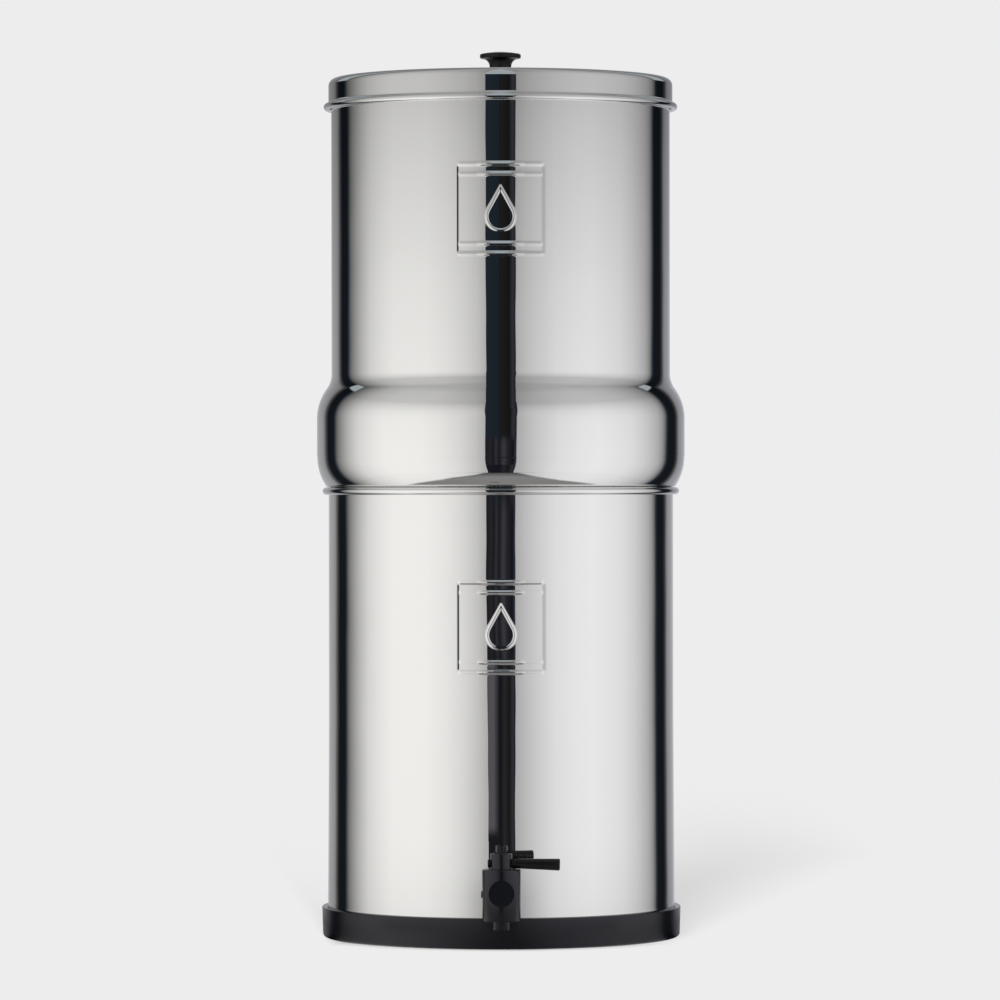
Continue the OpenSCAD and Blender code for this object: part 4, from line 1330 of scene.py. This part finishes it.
def stage_card(name, material, corner, width, away, end_width):
    """A flat card that starts at a corner with one width and runs away to another."""
    nothing_selected()
    bpy.ops.mesh.primitive_plane_add(size=1)
    mode("EDIT")
    bpy.ops.mesh.merge(type="CENTER")
    bpy.ops.transform.translate(value=corner)
    extrude((width, 0, 0))
    bpy.ops.mesh.select_all(action="SELECT")
    extrude(away)
    bpy.ops.transform.resize(value=(end_width / width, 1, 1))
    stage_piece(name, material)


class WATERFILTER_OT_studio(bpy.types.Operator):
    """Set up the pale floor, the light tent, the soft low light, the world and the camera"""

    bl_idname = "water_filter.studio"
    bl_label = "Studio"

    def execute(self, context):
        scene = context.scene
        scene.view_settings.view_transform = "Standard"
        nothing_selected()
        bpy.ops.mesh.primitive_plane_add(size=60)
        stage_piece("studio_floor", studio_floor(), in_reflections_only=False)
        self.build_tent()
        self.build_kerb()
        # The strip and the card glow only in reflections: painted reflections in the steel.
        # The strip leans in as the kerb does. The card widens to the front, as the slot is seen there.
        corner, away = (-0.029, -0.241, 0.0555), (0.00595, 0.065, 0.1091)
        stage_card("grey_strip", grey_strip(), corner, 0.0236, away, 0.0155)
        corner, away = (-CARD_HALF, -WALL_AHEAD, 0.335), (0, -0.0615, 0)
        stage_card("dark_card", dark_card(), corner, 2 * CARD_HALF, away, 0.0348)
        self.light_floor()
        self.fill_world(scene)
        self.set_camera(scene)
        return {"FINISHED"}

    @staticmethod
    def build_tent():
        """A tall dome of light round everything, open at the floor."""
        nothing_selected()
        bpy.ops.mesh.primitive_uv_sphere_add(segments=96, ring_count=48, radius=1)
        mode("EDIT")
        bpy.ops.mesh.select_all(action="SELECT")
        bpy.ops.transform.resize(value=(TENT_R, TENT_R, TENT_H))
        bpy.ops.mesh.bisect(plane_co=(0, 0, -0.02), plane_no=(0, 0, 1), clear_inner=True)
        stage_piece("light_tent", tent_light())

    @staticmethod
    def build_kerb():
        """A low wall that carries the tent's pattern to the foot of the steel and leans in, so that the
        bulge sees only its edge."""
        nothing_selected()
        bpy.ops.mesh.primitive_circle_add(vertices=96, radius=KERB_R, location=(0, 0, 0.0135))
        mode("EDIT")
        bpy.ops.mesh.select_all(action="SELECT")
        extrude((0, 0, -0.0145))
        bpy.ops.transform.resize(value=(KERB_LEAN, KERB_LEAN, 1))
        mode("OBJECT")
        bpy.ops.object.transform_apply(location=True, rotation=False, scale=False)
        stage_piece("light_kerb", tent_light("light_kerb", KERB_R))

    @staticmethod
    def light_floor():
        """A low soft sun from the front left, which throws the shadow and stays out of the steel."""
        nothing_selected()
        bpy.ops.object.light_add(type="SUN")
        sun = bpy.context.object
        sun.name = "low_soft_light"
        azimuth, height = radians(-17), radians(19)
        toward = Vector((sin(azimuth) * cos(height), -cos(azimuth) * cos(height), sin(height)))
        sun.rotation_euler = toward.to_track_quat("Z", "Y").to_euler()
        sun.data.energy = 1.75
        sun.data.angle = radians(22)
        sun.visible_glossy = False

    @staticmethod
    def fill_world(scene):
        """A pale world, a little brighter as light than it is seen."""
        world = bpy.data.worlds.new("studio_fill")
        scene.world = world
        world.use_nodes = True
        nodes, links = world.node_tree.nodes, world.node_tree.links
        nodes.clear()
        both = nodes.new("ShaderNodeMixShader")
        links.new(nodes.new("ShaderNodeLightPath").outputs["Is Camera Ray"], both.inputs[0])
        for socket, tone in ((1, WORLD_FILL), (2, BACKDROP)):
            background = nodes.new("ShaderNodeBackground")
            background.inputs[0].default_value = tone
            links.new(background.outputs[0], both.inputs[socket])
        links.new(both.outputs[0], nodes.new("ShaderNodeOutputWorld").inputs[0])

    @staticmethod
    def set_camera(scene):
        """A camera at half the object's height, looking very slightly down."""
        pitch, roll = -0.2, 0.07
        bpy.ops.object.camera_add(location=(-0.00053, -3.45, 0.2731))
        camera = bpy.context.object
        camera.name = "studio_camera"
        camera.data.sensor_width = 36
        camera.data.lens = 207.12
        camera.rotation_euler = (radians(90 + pitch), radians(roll), 0)
        camera.data.clip_start = 0.05
        camera.data.clip_end = 100
        scene.camera = camera


class WATERFILTER_PT_sidebar(bpy.types.Panel):
    """The water filter's steps, sizes and colours"""

    bl_idname = "WATERFILTER_PT_sidebar"
    bl_label = "Water Filter"
    bl_space_type = "VIEW_3D"
    bl_region_type = "UI"
    bl_category = "Water Filter"

    def draw(self, context):
        column = self.layout.column()
        for step in STEPS:
            column.operator(step.bl_idname)
        for settings in SETTINGS:
            column.separator()
            group = getattr(context.scene, settings)
            for name in group.__annotations__:
                column.prop(group, name)


STEPS = (
    WATERFILTER_OT_lower_chamber,
    WATERFILTER_OT_upper_chamber,
    WATERFILTER_OT_lid,
    WATERFILTER_OT_base_ring,
    WATERFILTER_OT_lid_knob,
    WATERFILTER_OT_tap_body,
    WATERFILTER_OT_tap_plug,
    WATERFILTER_OT_tap_lever,
    WATERFILTER_OT_candles,
    WATERFILTER_OT_candle_bases,
    WATERFILTER_OT_blank_plugs,
    WATERFILTER_OT_wing_nuts,
    WATERFILTER_OT_kept_solids,
    WATERFILTER_OT_studio,
)
SETTINGS = {
    "filter_steel": SteelSizes,
    "filter_tap": TapSizes,
    "filter_fittings": FittingSizes,
    "filter_colours": FilterColours,
}
CLASSES = (*SETTINGS.values(), *STEPS, WATERFILTER_PT_sidebar)


def register():
    """Registers the classes and their settings."""
    for cls in CLASSES:
        bpy.utils.register_class(cls)
    for name, group in SETTINGS.items():
        setattr(bpy.types.Scene, name, PointerProperty(type=group))


def unregister():
    """Takes them away again."""
    for name in SETTINGS:
        delattr(bpy.types.Scene, name)
    for cls in reversed(CLASSES):
        bpy.utils.unregister_class(cls)


def main():
    """Builds everything."""
    register()
    for step in STEPS:
        group, name = step.bl_idname.split(".")
        getattr(getattr(bpy.ops, group), name)()


if __name__ == "__main__":
    main()
